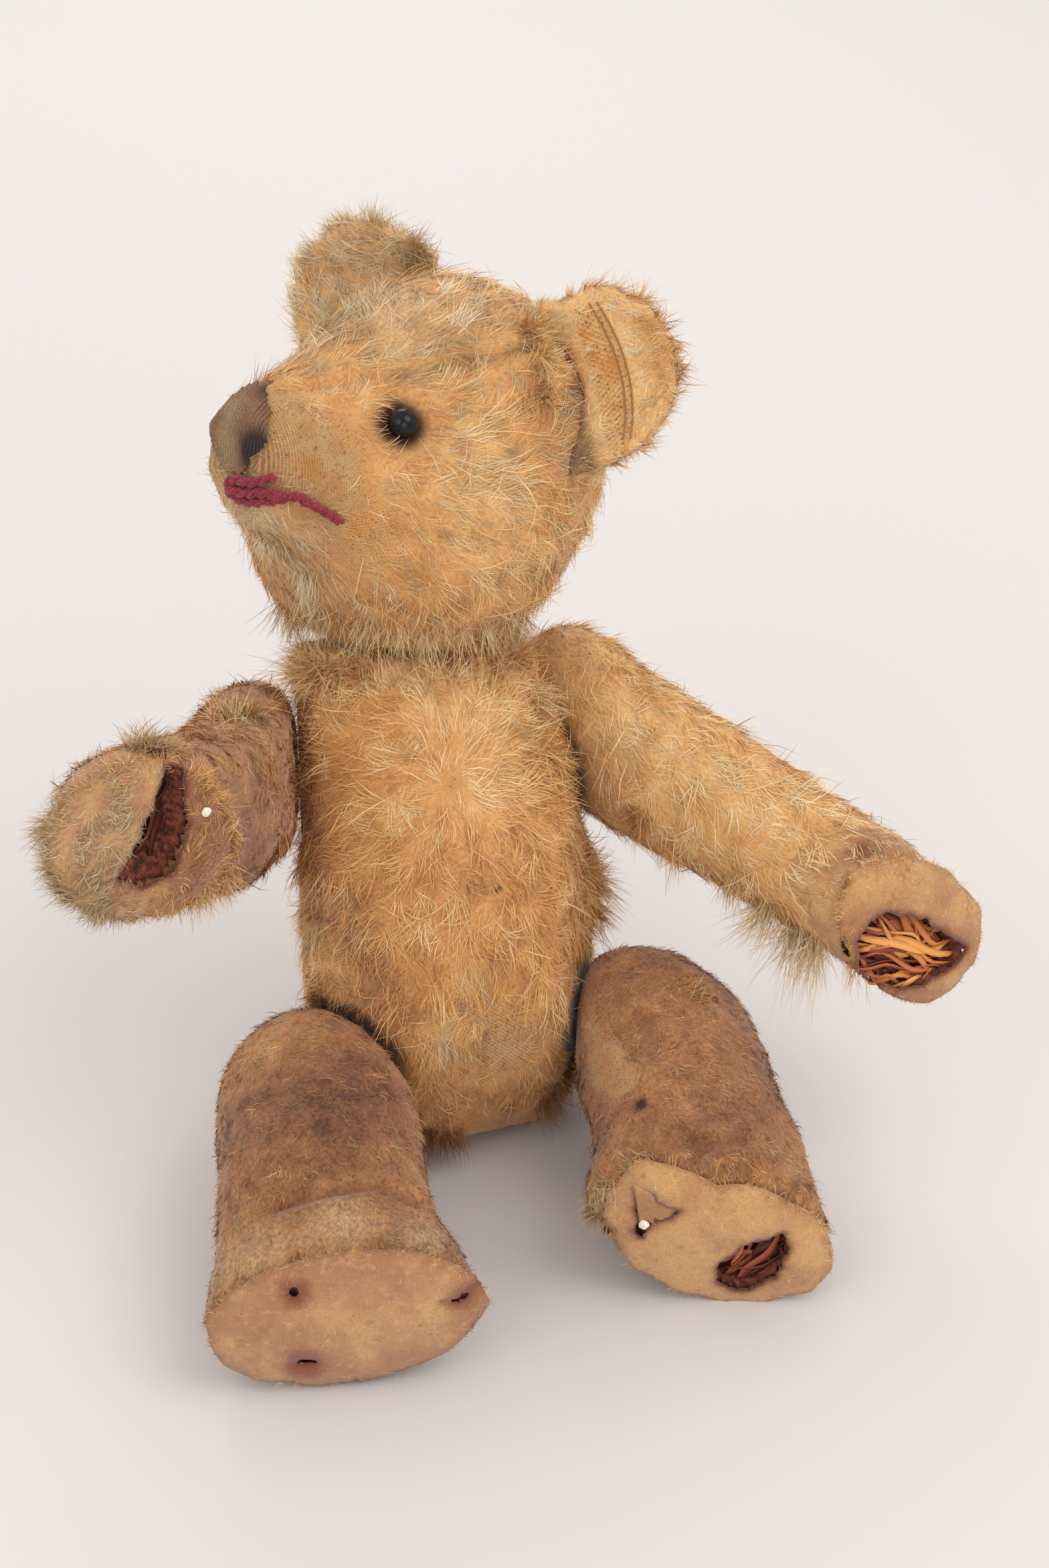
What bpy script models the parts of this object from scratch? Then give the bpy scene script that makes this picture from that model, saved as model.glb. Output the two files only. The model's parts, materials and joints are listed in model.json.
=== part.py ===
"""A jointed mohair teddy bear, seated, at its real size: cloth covers, wood-wool filling, worn felt pads,
ears, eyes, stitching and the five disc joints that let the head and limbs turn.

Metres, +Z up. The bear faces -Y and its own left is +X. The origin is the middle of the flat of its seat."""

import math

import bmesh
import bpy
from mathutils import Matrix, Vector
from mathutils.bvhtree import BVHTree

MM = 0.001

# Cloth, felt and clearances.
CLOTH = 1.2
FELT = 1.3
GAP = 0.35
JOINT_GAP = 0.8
FILLING_GAP = 0.5
PAD_LIFT = 0.4

# Sides of the sewn pieces, of turned pieces and of small holes.
SIDES = 16
ROUND = 14
HOLE_SIDES = 8

# The torso leans back from the seat and a little to one side; its sections run along its leaning axis.
LEAN = math.radians(17)
TILT = math.radians(-1.5)

# Torso sections: height, forward shift, shift to its left, half width, half depth.
TORSO = (
    (-10, -7, 0, 17, 12),
    (-5, -7, 0, 27, 19),
    (5, -5, 0, 33, 25),
    (20, 0.5, 0.5, 36.5, 29.5),
    (38, 5, 1.5, 39, 32.5),
    (58, 5, 2.5, 40, 31.5),
    (78, 2, 1.5, 36, 27.5),
    (98, 0, 0.5, 32, 24.5),
    (112, 0, 0, 28, 21.5),
    (120, 0, 0, 20, 15),
)

# Head sections: distance forward of the neck, height of the middle, half height, half width, and how far
# the top is narrower than the bottom.
HEAD = (
    (-49, 43, 6, 7, 0),
    (-45.5, 42.5, 17, 18, 0),
    (-37, 42, 28.5, 28, 0),
    (-24, 39.5, 39, 35, 0),
    (-8, 37.8, 41.7, 37.5, 0.05),
    (6, 36.8, 39.7, 34, 0.25),
    (18, 36.3, 34, 28, 0.4),
    (27, 39.5, 25, 21, 0.3),
    (35, 42, 18.5, 17, 0.15),
    (42, 43, 15.5, 14.5, 0.05),
    (46.5, 43.5, 11, 11, 0),
    (48.5, 44, 5, 5, 0),
)
NECK = dict(point=(-2, 33, 109), axis=(0.10, 0.27, 0.957), disc=12)
NOSE_WAY = (-0.84, -0.54, 0.0)

# Limbs: where each joint meets the torso, its axis out of the torso, and its disc's radius. Each section
# gives its middle (x, y, z), the way it faces (degrees outward from straight ahead, degrees down), its roll
# in degrees, half width and half thickness. The pad closes the limb beyond a plane. Its holes are given in
# the pad's plane: middle (across, up), half length, half width, turn.
LIMBS = {
    "arm_right": dict(
        side=-1, point=(-26, 31, 84), axis=(-0.965, 0.25, 0.0), disc=8.5,
        sections=(
            (-32, 53, 74, 20, -14, 0, 9, 7),
            (-33.5, 48, 76, 20, -14, 0, 17, 13),
            (-36, 37, 81, 22, -16, 0, 20.5, 14.5),
            (-39, 22, 88, 25, -18, 0, 20.5, 15),
            (-48, 2, 96, 28, -20, 0, 18, 14),
            (-58, -14, 104, 32, -18, 0, 16.5, 14),
            (-68, -28, 111, 34, -16, 0, 17, 15),
            (-76, -41, 117, 34, -12, 0, 17, 15.5),
            (-82, -50, 120, 34, -8, 0, 12.5, 11.5),
            (-84, -54, 121, 34, -8, 0, 5, 5)),
        pad=dict(point=(-70, -40, 114), out=(0.25, -0.95, -0.1)),
        holes=((-3.5, 1, 13.5, 3.6, 63),)),
    "arm_left": dict(
        side=1, point=(30.6, 27.4, 80), axis=(0.95, 0.28, 0.12), disc=8.5,
        sections=(
            (31.5, 52, 88, 30, 22, 0, 9, 7),
            (33.5, 48, 87, 30, 22, 0, 16.5, 12.5),
            (38, 37, 85, 32, 22, 0, 20.5, 14),
            (43.5, 22, 82, 35, 22, 0, 20, 14.8),
            (56, 4, 78, 38, 22, 0, 18, 14.5),
            (69, -12, 72, 40, 22, 0, 16.5, 14),
            (81, -25, 65.5, 42, 22, 0, 15, 14),
            (90, -36, 60, 42, 22, 0, 15, 14.5),
            (98, -45, 56, 42, 22, 0, 12, 11),
            (101, -49, 54, 42, 22, 0, 5, 5)),
        pad=dict(point=(84, -40, 62), out=(0.0, -0.95, 0.3)),
        holes=((2, -1.5, 11.7, 7.9, -10),)),
    "leg_right": dict(
        side=-1, point=(-26.5, -7.4, 27), axis=(-0.86, -0.5, 0.05), disc=9.5,
        sections=(
            (-32, 6, 28, 10, 5, 70, 7, 6),
            (-33, 2, 28, 10, 5, 70, 14, 13),
            (-35, -6, 27, 10, 5, 70, 20, 18.5),
            (-37, -18, 26, 11, 5, 72, 22.5, 21),
            (-40, -33, 25, 12, 5, 75, 22.5, 20.5),
            (-43, -48, 23.5, 12, 4, 78, 22.5, 19.5),
            (-44.5, -60, 20, 12, 2, 80, 24.5, 18),
            (-45, -68, 18, 12, 2, 84, 28, 17.4),
            (-46, -79, 17, 12, 2, 84, 29.5, 16.8)),
        pad=dict(point=(-45, -75, 17), out=(-0.208, -0.977, -0.035)),
        holes=((-10.5, 9.5, 2.6, 2.2, 0), (-8.5, -7, 4.2, 2.6, 20), (22.5, 6.5, 4, 1.2, 20))),
    "leg_left": dict(
        side=1, point=(26.9, -7.2, 28), axis=(0.88, -0.45, 0.1), disc=9.5,
        sections=(
            (38, 6, 28, 0, 5, 50, 7, 6),
            (39, 2, 28, 0, 5, 50, 14, 13),
            (40, -6, 27, 0, 5, 52, 20, 18.5),
            (41, -18, 26, -2, 5, 55, 22.5, 21),
            (41, -33, 24.5, -4, 5, 58, 22.5, 20.5),
            (39, -47, 23, -8, 4, 62, 22.5, 19.5),
            (36.5, -59, 21.5, -14, 2, 66, 24.5, 18.5),
            (34.5, -67, 20, -18, 0, 68, 27.5, 18),
            (31.5, -77, 19.2, -20, 0, 68, 28.5, 17.5)),
        pad=dict(point=(32.7, -73, 19.2), out=(-0.342, -0.94, 0.0)),
        holes=((9, -6, 7.5, 5.5, 30), (-12, 7, 5, 3, 60), (-14, 2, 0.8, 0.8, 0))),
}

# Ears, in the head's frame: middle of the base (left, back, up), the base's run and the way the ear stands.
EARS = {
    "ear_left": dict(base=(31, 18, 58), run=(14, -3, -29), out=(22, 14, 1)),
    "ear_right": dict(base=(-25, 20, 67), run=(-14, -2, -17), out=(-22, -6, 9)),
}
EAR_HALF = 21
EAR_HIGH = 28
EAR_TOP = 80
EAR_ROOT = 4
EAR_CUP = 5
EAR_THICK = 3.2

# Face, in the head's frame. The nose and the mouth keep to the head's skin.
EYE_PLACE = (19, -21, 51)
EYE_PROFILE = ((0.5, -6), (0.5, 0.5), (2.6, 0.6), (3.15, 1.6), (2.9, 2.9), (2.0, 3.8), (0.8, 4.2))
EYE_HOLE = 0.95
NOSE_OUTLINE = ((2.5, 59), (6.5, 53.5), (8.3, 48.5), (4.6, 45), (3.2, 42))
NOSE_THICK = 1.0
MOUTH_RADIUS = 0.85
MOUTH_ROUTE = (
    (15.8, -34.2, 32.2), (15.1, -37.2, 34.1), (14.1, -40.2, 36), (12.6, -43.6, 38.2), (9.8, -46, 37.4),
    (7.2, -46.9, 36.6), (4.2, -47.5, 36.1), (1, -47.9, 36.6), (-1.4, -48.2, 38.2), (-0.4, -48.4, 40.2),
    (2.4, -48.4, 40.4), (5.2, -48.1, 40.4), (8, -47.5, 40.9), (10.2, -46.6, 41.6))

# Joint hardware, as depths below the outer face of the cloth that it sits behind.
DISC_AT = (1.5, 3.5)
WASHER_AT = (3.8, 4.4)
POCKET_STEP = 3.95
POCKET_END = 8.8
POCKET_RADIUS = 4.3
WASHER_RADIUS = 3.4
WASHER_HOLE = 1.5
CLOTH_HOLE = 1.7
WIRE = 0.45
WIRE_APART = 0.6
EYE_LOOP = 1.3
EYE_LOOP_AT = 6.2
CURL = 1.2
CURL_AT = 5.35


# ---- general helpers ----
def material(name, colour, roughness, metallic=0.0):
    """A plain surface for one kind of piece."""
    made = bpy.data.materials.get(name) or bpy.data.materials.new(name)
    made.use_nodes = True
    shader = made.node_tree.nodes["Principled BSDF"]
    shader.inputs["Base Color"].default_value = (*colour, 1.0)
    shader.inputs["Roughness"].default_value = roughness
    shader.inputs["Metallic"].default_value = metallic
    return made


def mohair():
    return material("mohair", (0.55, 0.38, 0.2), 0.9)


def felt():
    return material("felt", (0.62, 0.42, 0.2), 0.95)


def wood_wool():
    return material("wood_wool", (0.6, 0.35, 0.12), 0.8)


def fibreboard():
    return material("fibreboard", (0.35, 0.25, 0.16), 0.85)


def steel():
    return material("steel", (0.5, 0.5, 0.5), 0.4, 1.0)


def black_glass():
    return material("black_glass", (0.01, 0.01, 0.012), 0.08)


def floss():
    return material("nose_floss", (0.2, 0.11, 0.05), 0.85)


def red_yarn():
    return material("red_yarn", (0.4, 0.03, 0.05), 0.9)


def clear_scene():
    for found in list(bpy.data.objects):
        bpy.data.objects.remove(found, do_unlink=True)


def add_object(name, data, surface=None, parent=None, sharp=40):
    """Links a mesh, or a bmesh, or a curve, as a named object. It keeps its place in the world."""
    if isinstance(data, bmesh.types.BMesh):
        mesh = bpy.data.meshes.new(name)
        data.to_mesh(mesh)
        data.free()
        mesh.shade_smooth()
        mesh.set_sharp_from_angle(angle=math.radians(sharp))
        data = mesh
    if surface:
        data.materials.append(surface)
    made = bpy.data.objects.new(name, data)
    bpy.context.scene.collection.objects.link(made)
    if parent:
        made.parent = parent
        made.matrix_parent_inverse = parent.matrix_basis.inverted()
    return made


def add_cutter(name, mesh):
    """A hidden solid that only Boolean modifiers read."""
    made = add_object(name, mesh)
    made.hide_render = True
    made.display_type = "WIRE"
    return made


def boolean(target, cutter, operation="DIFFERENCE"):
    step = target.modifiers.new(operation.lower(), "BOOLEAN")
    step.operation = operation
    step.solver = "EXACT"
    step.object = cutter


def solidify(target, thickness, offset):
    step = target.modifiers.new("thickness", "SOLIDIFY")
    step.thickness = thickness * MM
    step.offset = offset
    step.use_even_offset = True


def ring_matrix(centre, wide, deep):
    """Maps the unit circle onto an ellipse with these half axes."""
    turned = Matrix((wide, deep, wide.cross(deep).normalized())).transposed().to_4x4()
    turned.translation = centre
    return turned


def axis_frame(point, axis, across=(0, 0, 1)):
    """A frame at a point, its Z along the axis and its X square to `across`."""
    z = Vector(axis).normalized()
    x = Vector(across).cross(z).normalized()
    made = Matrix((x, z.cross(x), z)).transposed().to_4x4()
    made.translation = point
    return made


def face_outward(mesh, faces):
    """Turns one closed shell's faces outward."""
    mesh.normal_update()
    bmesh.ops.recalc_face_normals(mesh, faces=faces)
    if sum(f.calc_area() * f.normal.dot(f.calc_center_median()) for f in faces) < 0:
        bmesh.ops.reverse_faces(mesh, faces=faces)


# ---- skins ----
def loft(rings, narrowing=None):
    """Joins ellipses into one closed skin. Narrowing pulls in the far side of each ring's second axis."""
    mesh = bmesh.new()
    made = []
    for i, matrix in enumerate(rings):
        ring = bmesh.ops.create_circle(mesh, segments=SIDES, radius=1.0)["verts"]
        if narrowing:
            for v in ring:
                v.co.x *= 1 - narrowing[i] * v.co.y
        bmesh.ops.transform(mesh, matrix=matrix, verts=ring)
        made.append(ring)
    join_rings(mesh, made)
    return mesh


def join_rings(mesh, rings):
    """Walls between rings of corners that match one to one, and a face on each end."""
    faces = [mesh.faces.new(ring) for ring in (rings[0], rings[-1])]
    for near, far in zip(rings, rings[1:]):
        for i in range(len(near)):
            faces.append(mesh.faces.new((near[i - 1], near[i], far[i], far[i - 1])))
    face_outward(mesh, faces)


def grow(mesh, distance):
    """Moves every wall of a skin outward by this many millimetres."""
    mesh.normal_update()
    moves = [v.normal * distance * MM * v.calc_shell_factor() for v in mesh.verts]
    for v, move in zip(mesh.verts, moves):
        v.co += move


def cut_flat(mesh, point, outward, close=True):
    """Slices off what lies beyond a plane and, where wanted, closes the cut with a flat face."""
    everything = mesh.verts[:] + mesh.edges[:] + mesh.faces[:]
    cut = bmesh.ops.bisect_plane(
        mesh, geom=everything, dist=1e-6, plane_co=point, plane_no=outward, clear_outer=True)
    edges = [g for g in cut["geom_cut"] if isinstance(g, bmesh.types.BMEdge)]
    if close:
        bmesh.ops.edgeloop_fill(mesh, edges=edges)
        face_outward(mesh, mesh.faces[:])
    return edges


def turned(mesh, profile, place, sides=ROUND):
    """Adds a turned solid from (radius, distance along) pairs, along the frame's Z."""
    rings = []
    for radius, along in profile:
        ring = bmesh.ops.create_circle(mesh, segments=sides, radius=radius * MM)["verts"]
        bmesh.ops.transform(mesh, matrix=place @ Matrix.Translation((0, 0, along * MM)), verts=ring)
        rings.append(ring)
    join_rings(mesh, rings)


def turned_ring(profile):
    """A turned ring about Z, from the corners of its section."""
    mesh = bmesh.new()
    corners = [mesh.verts.new((radius * MM, 0, along * MM)) for radius, along in profile]
    sides = [mesh.edges.new(pair) for pair in zip(corners, corners[1:] + corners[:1])]
    bmesh.ops.spin(mesh, geom=corners + sides, cent=(0, 0, 0), axis=(0, 0, 1), angle=math.tau,
                   steps=ROUND, use_merge=True)
    face_outward(mesh, mesh.faces[:])
    return mesh


def prism(mesh, corners, run):
    """Adds a straight prism on an outline."""
    join_rings(mesh, [[mesh.verts.new(place + shift) for place in corners] for shift in (Vector(), run)])


# ---- frames and rings ----
def torso_rings():
    frame = Matrix.Rotation(TILT, 4, "Y") @ Matrix.Rotation(-LEAN, 4, "X")
    turn = frame.to_3x3()
    rings = []
    for height, forward, left, half_wide, half_deep in TORSO:
        centre = frame @ (Vector((left, -forward, height)) * MM)
        rings.append(ring_matrix(centre, turn @ Vector((half_wide * MM, 0, 0)),
                                 turn @ Vector((0, half_deep * MM, 0))))
    return rings


def head_frame():
    """Origin where the neck turns, Z up the neck's axis, -Y the way the nose points."""
    up = Vector(NECK["axis"]).normalized()
    back = -Vector(NOSE_WAY)
    back = (back - up * back.dot(up)).normalized()
    made = Matrix((back.cross(up), back, up)).transposed().to_4x4()
    made.translation = Vector(NECK["point"]) * MM
    return made


def head_point(place):
    return head_frame() @ (Vector(place) * MM)


def head_way(way):
    return (head_frame().to_3x3() @ Vector(way)).normalized()


def head_skin(growth=0.0):
    turn = head_frame().to_3x3()
    rings, narrowing = [], []
    for forward, middle, half_high, half_wide, narrow in HEAD:
        rings.append(ring_matrix(head_point((0, -forward, middle)), turn @ Vector((half_wide * MM, 0, 0)),
                                 turn @ Vector((0, 0, half_high * MM))))
        narrowing.append(narrow)
    skin = loft(rings, narrowing)
    grow(skin, growth)
    return skin


def limb_rings(limb):
    rings = []
    for x, y, z, outward, down, roll, half_wide, half_thick in limb["sections"]:
        out, dip, lean = (math.radians(v) for v in (outward * limb["side"], down, roll))
        way = Vector((math.sin(out) * math.cos(dip), -math.cos(out) * math.cos(dip), -math.sin(dip)))
        up = (Vector((0, 0, 1)) - way * way.z).normalized()
        inward = up.cross(way) * -limb["side"]
        wide = up * math.cos(lean) + inward * math.sin(lean)
        rings.append(ring_matrix(Vector((x, y, z)) * MM, wide * half_wide * MM,
                                 way.cross(wide) * half_thick * MM))
    return rings


def joint_frame(joint):
    """Origin on the torso's flat, Z out of the torso."""
    across = (0, 1, 0) if joint is NECK else (0, 0, 1)
    return axis_frame(Vector(joint["point"]) * MM, joint["axis"], across)


def joint_plane(joint, depth):
    """The flat on a moving piece that faces the torso, moved into that piece by `depth`: point, way out."""
    frame = joint_frame(joint)
    return frame @ Vector((0, 0, (JOINT_GAP + depth) * MM)), -frame.col[2].to_3d()


def torso_plane(joint, depth):
    frame = joint_frame(joint)
    return frame @ Vector((0, 0, -depth * MM)), frame.col[2].to_3d()


def pad_plane(limb, depth):
    out = Vector(limb["pad"]["out"]).normalized()
    return (Vector(limb["pad"]["point"]) - out * depth) * MM, out


# ---- joints ----
def depth_to_z(depth, in_torso):
    """A depth below the cloth's outer face, as a place along the joint's Z."""
    return -depth if in_torso else JOINT_GAP + depth


def hardware_profile(radius, hole, depths, in_torso):
    """Section of a disc or washer between two depths, ready to turn."""
    near, far = (depth_to_z(d, in_torso) for d in depths)
    return ((hole, near), (radius, near), (radius, far), (hole, far))


def add_turned(name, profile, joint, surface, parent):
    made = add_object(name, turned_ring(profile), surface)
    if parent:
        made.parent = parent
    else:
        made.matrix_world = joint_frame(joint)


def add_discs(name, joint, pivot):
    """The fibreboard disc and steel washer on each side of one joint."""
    for place, in_torso, parent in (("", False, pivot), ("_body", True, None)):
        disc = hardware_profile(joint["disc"], WASHER_HOLE, DISC_AT, in_torso)
        washer = hardware_profile(WASHER_RADIUS, WASHER_HOLE, WASHER_AT, in_torso)
        add_turned(name + place + "_disc", disc, joint, fibreboard(), parent)
        add_turned(name + place + "_washer", washer, joint, steel(), parent)


def arc(centre_x, centre_z, radius, start, end, count):
    for i in range(count):
        turn = math.radians(start + (end - start) * i / (count - 1))
        yield centre_x + radius * math.cos(turn), centre_z + radius * math.sin(turn)


def cotter_route():
    """A split pin bent from one wire, in its own X-Z plane: curled end, eye, curled end."""
    curl_z = depth_to_z(CURL_AT, True)
    eye_z = depth_to_z(EYE_LOOP_AT, False)
    spread = math.degrees(math.asin(WIRE_APART / EYE_LOOP))
    half = list(arc(WIRE_APART + CURL, curl_z, CURL, 348, 180, 6))
    eye = list(arc(0, eye_z, EYE_LOOP, spread - 90, 270 - spread, 9))
    return half + eye + [(-x, z) for x, z in reversed(half)]


def wire_curve(name, points, radius, resolution):
    """A round wire or thread through the given points, with closed ends."""
    curve = bpy.data.curves.new(name, "CURVE")
    curve.dimensions = "3D"
    curve.bevel_depth = radius * MM
    curve.bevel_resolution = resolution
    curve.use_fill_caps = True
    line = curve.splines.new("POLY")
    line.points.add(len(points) - 1)
    for made, point in zip(line.points, points):
        made.co = (*point, 1.0)
    return curve


def add_cotter_pin(name, joint):
    route = [Vector((x, 0, z)) * MM for x, z in cotter_route()]
    made = add_object(name + "_cotter_pin", wire_curve(name, route, WIRE, 1), steel())
    made.matrix_world = joint_frame(joint)


def add_hole(name, place, radius, top, bottom):
    """A cutter for one plain hole along the frame's Z."""
    mesh = bmesh.new()
    turned(mesh, ((radius, bottom), (radius, top)), place, HOLE_SIDES)
    return add_cutter(name, mesh)


def add_pocket(name, joint, in_torso):
    """A cutter for the stepped hollow that holds a joint's disc, washer and pin end."""
    mesh = bmesh.new()
    wide = joint["disc"] + GAP + 0.1
    steps = ((wide, -3), (wide, POCKET_STEP), (POCKET_RADIUS, POCKET_STEP), (POCKET_RADIUS, POCKET_END))
    turned(mesh, [(r, depth_to_z(d, in_torso)) for r, d in steps], joint_frame(joint))
    return add_cutter(name, mesh)


def add_pivot(name, joint):
    """An empty on the joint's axis that carries the pieces which turn there."""
    pivot = bpy.data.objects.new(name + "_pivot", None)
    bpy.context.scene.collection.objects.link(pivot)
    pivot.matrix_world = joint_frame(joint)
    return pivot


# ---- torso ----
def build_torso():
    joints = {"neck": NECK, **LIMBS}
    seat = Vector((0, 0, -1))
    skin = loft(torso_rings())
    cut_flat(skin, Vector((0, 0, 0)), seat)
    for joint in joints.values():
        cut_flat(skin, *torso_plane(joint, 0))
    cover = add_object("torso_cover", skin, mohair())
    solidify(cover, CLOTH, -1)
    inset = CLOTH + FILLING_GAP
    filling = loft(torso_rings())
    grow(filling, -inset)
    cut_flat(filling, -seat * inset * MM, seat)
    for joint in joints.values():
        cut_flat(filling, *torso_plane(joint, inset))
    stuffing = add_object("torso_stuffing", filling, wood_wool())
    for name, joint in joints.items():
        boolean(cover, add_hole(name + "_body_hole", joint_frame(joint), CLOTH_HOLE, 2, -3))
        boolean(stuffing, add_pocket(name + "_body_pocket", joint, True))


# ---- head ----
def skin_tree():
    """The head's outer skin, ready to be asked for its nearest point."""
    skin = head_skin()
    tree = BVHTree.FromBMesh(skin)
    skin.free()
    return tree


def build_head():
    pivot = add_pivot("neck", NECK)
    skin = head_skin()
    cut_flat(skin, *joint_plane(NECK, 0))
    cover = add_object("head_cover", skin, mohair(), pivot)
    solidify(cover, CLOTH, -1)
    filling = head_skin(-CLOTH - FILLING_GAP)
    cut_flat(filling, *joint_plane(NECK, CLOTH + FILLING_GAP))
    stuffing = add_object("head_stuffing", filling, wood_wool(), pivot)
    boolean(cover, add_hole("neck_hole", joint_frame(NECK), CLOTH_HOLE, 5, -2))
    boolean(stuffing, add_pocket("neck_pocket", NECK, False))
    add_discs("neck", NECK, pivot)
    add_cotter_pin("neck", NECK)
    tree = skin_tree()
    clear = add_cutter("head_clearance", head_skin(GAP))
    add_eyes(tree, cover, stuffing, pivot)
    add_nose(clear, pivot)
    add_mouth(tree, pivot)
    for name, spec in EARS.items():
        made = add_object(name, ear(spec), mohair(), pivot)
        solidify(made, EAR_THICK, 0)
        boolean(made, clear)


def add_eyes(tree, cover, stuffing, pivot):
    """A black glass bead with its shank through the cloth, each side."""
    left, back, up = EYE_PLACE
    for name, side in (("eye_left", 1), ("eye_right", -1)):
        place, normal, _, _ = tree.find_nearest(head_point((left * side, back, up)))
        frame = axis_frame(place, normal)
        mesh = bmesh.new()
        turned(mesh, EYE_PROFILE, frame, 12)
        add_object(name, mesh, black_glass(), pivot)
        boolean(cover, add_hole(name + "_hole", frame, EYE_HOLE, 2, -4))
        boolean(stuffing, add_hole(name + "_socket", frame, EYE_HOLE, 2, -7))


def add_nose(clear, pivot):
    """A patch of floss: the part of a slightly grown skin that lies inside the shield-shaped outline."""
    outline = list(NOSE_OUTLINE) + [(-left, up) for left, up in reversed(NOSE_OUTLINE)]
    mesh = bmesh.new()
    prism(mesh, [head_point((left, -62, up)) for left, up in outline], head_way((0, 1, 0)) * 32 * MM)
    nose = add_object("nose_stitching", mesh, floss(), pivot)
    boolean(nose, add_cutter("nose_face", head_skin(GAP + NOSE_THICK)), "INTERSECT")
    boolean(nose, clear)


def add_mouth(tree, pivot):
    """One red thread laid on the cloth: a long stitch up to the lips and a loop round them."""
    route = []
    for place in MOUTH_ROUTE:
        near, normal, _, _ = tree.find_nearest(head_point(place))
        route.append(near + normal * (GAP + MOUTH_RADIUS) * MM)
    add_object("mouth_stitching", wire_curve("mouth", route, MOUTH_RADIUS, 2), red_yarn(), pivot)


def ear(spec):
    """A cupped half disc, wide at its root, which runs a little way into the head."""
    run = head_way(spec["run"])
    out = head_way(spec["out"])
    out = (out - run * out.dot(run)).normalized()
    cup_way = run.cross(out)
    if cup_way.dot(head_way((0, 1, 0))) < 0:
        cup_way = -cup_way
    base = head_point(spec["base"])
    mesh = bmesh.new()
    bmesh.ops.create_grid(mesh, x_segments=10, y_segments=7, size=1.0)
    for v in mesh.verts:
        along, turn = v.co.x, math.radians(EAR_TOP) * (v.co.y + 1) / 2
        high, width = math.sin(turn), math.cos(turn) ** 0.7
        rise = high * (1 - 0.1 * along * along * high) * EAR_HIGH - EAR_ROOT
        hollow = (1 - (along * width) ** 2) * math.sin(math.pi * (0.25 + 0.6 * high))
        cup = EAR_CUP * hollow - 2 * along * along
        v.co = base + (run * along * width * EAR_HALF + out * rise + cup_way * cup) * MM
    return mesh


# ---- limbs ----
def pad_frame(limb):
    """Origin in the pad's plane, X across, Y up, Z out."""
    point, out = pad_plane(limb, -PAD_LIFT)
    return axis_frame(point, out)


def pad_mesh(edges, out):
    """A domed sheet on the open rim of a limb."""
    rim = ordered_loop(edges)
    mesh = bmesh.new()
    face = mesh.faces.new([mesh.verts.new(place + out * PAD_LIFT * MM) for place in rim])
    for shrink, rise in ((0.86, 1.4), (0.72, 0.9), (0.5, 0.4)):
        face = bmesh.ops.extrude_discrete_faces(mesh, faces=[face])["faces"][0]
        centre = face.calc_center_median()
        move = Matrix.Translation(centre + out * rise * MM) @ Matrix.Scale(shrink, 4)
        bmesh.ops.transform(mesh, matrix=move @ Matrix.Translation(-centre), verts=face.verts[:])
    bmesh.ops.poke(mesh, faces=[face])
    mesh.normal_update()
    if sum((f.normal for f in mesh.faces), Vector()).dot(out) < 0:
        bmesh.ops.reverse_faces(mesh, faces=mesh.faces[:])
    return mesh


def ordered_loop(edges):
    """Corner positions of a closed chain of edges, in order."""
    start = edges[0].verts[0]
    found, corner, edge = [start.co.copy()], edges[0].verts[1], edges[0]
    while corner is not start:
        found.append(corner.co.copy())
        edge = next(e for e in edges if e is not edge and corner in e.verts)
        corner = edge.other_vert(corner)
    return found


def add_tears(name, limb):
    """A cutter with one ragged oval prism for each worn hole of a pad."""
    frame = pad_frame(limb)
    mesh = bmesh.new()
    for across, up, half_long, half_wide, turn in limb["holes"]:
        lean = math.radians(turn)
        place = frame @ Matrix.Translation((across * MM, up * MM, -5 * MM)) @ Matrix.Rotation(lean, 4, "Z")
        corners = []
        for i in range(12):
            a = math.tau * i / 12
            ragged = 1 + 0.1 * math.sin(3 * a + 1) + 0.07 * math.sin(5 * a)
            local = Vector((half_long * math.cos(a), half_wide * math.sin(a), 0)) * ragged * MM
            corners.append(place @ local)
        prism(mesh, corners, frame.col[2].to_3d() * 14 * MM)
    return add_cutter(name + "_tears", mesh)


def build_limb(name, limb):
    pivot = add_pivot(name, limb)
    skin = loft(limb_rings(limb))
    cut_flat(skin, *joint_plane(limb, 0))
    point, out = pad_plane(limb, 0)
    pad = pad_mesh(cut_flat(skin, point, out, close=False), out)
    cover = add_object(name + "_cover", skin, mohair(), pivot)
    solidify(cover, CLOTH, -1)
    boolean(cover, add_hole(name + "_hole", joint_frame(limb), CLOTH_HOLE, 4, -2))
    filling = loft(limb_rings(limb))
    grow(filling, -CLOTH - FILLING_GAP)
    cut_flat(filling, *joint_plane(limb, CLOTH + FILLING_GAP))
    cut_flat(filling, *pad_plane(limb, GAP))
    stuffing = add_object(name + "_stuffing", filling, wood_wool(), pivot)
    boolean(stuffing, add_pocket(name + "_pocket", limb, False))
    made = add_object(name + "_pad", pad, felt(), pivot)
    solidify(made, FELT, 1)
    boolean(made, add_tears(name, limb))
    add_discs(name, limb, pivot)
    add_cotter_pin(name, limb)


def main():
    clear_scene()
    build_torso()
    build_head()
    for name, limb in LIMBS.items():
        build_limb(name, limb)


main()
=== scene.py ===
"""The finished look of a threadbare jointed teddy bear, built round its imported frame: sewn mohair covers with
what is left of their pile, ears, worn felt pads with wood wool showing in the holes, glass eyes, a stitched
nose and a red yarn mouth, on a pale floor.

Metres, +Z up. The bear faces -Y and its own left is +X."""

import json
import math

import bmesh
import bpy
import numpy as np
from bpy.props import FloatProperty, FloatVectorProperty, IntProperty, PointerProperty
from mathutils import Matrix, Vector, noise
from mathutils.bvhtree import BVHTree
from mathutils.kdtree import KDTree

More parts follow.
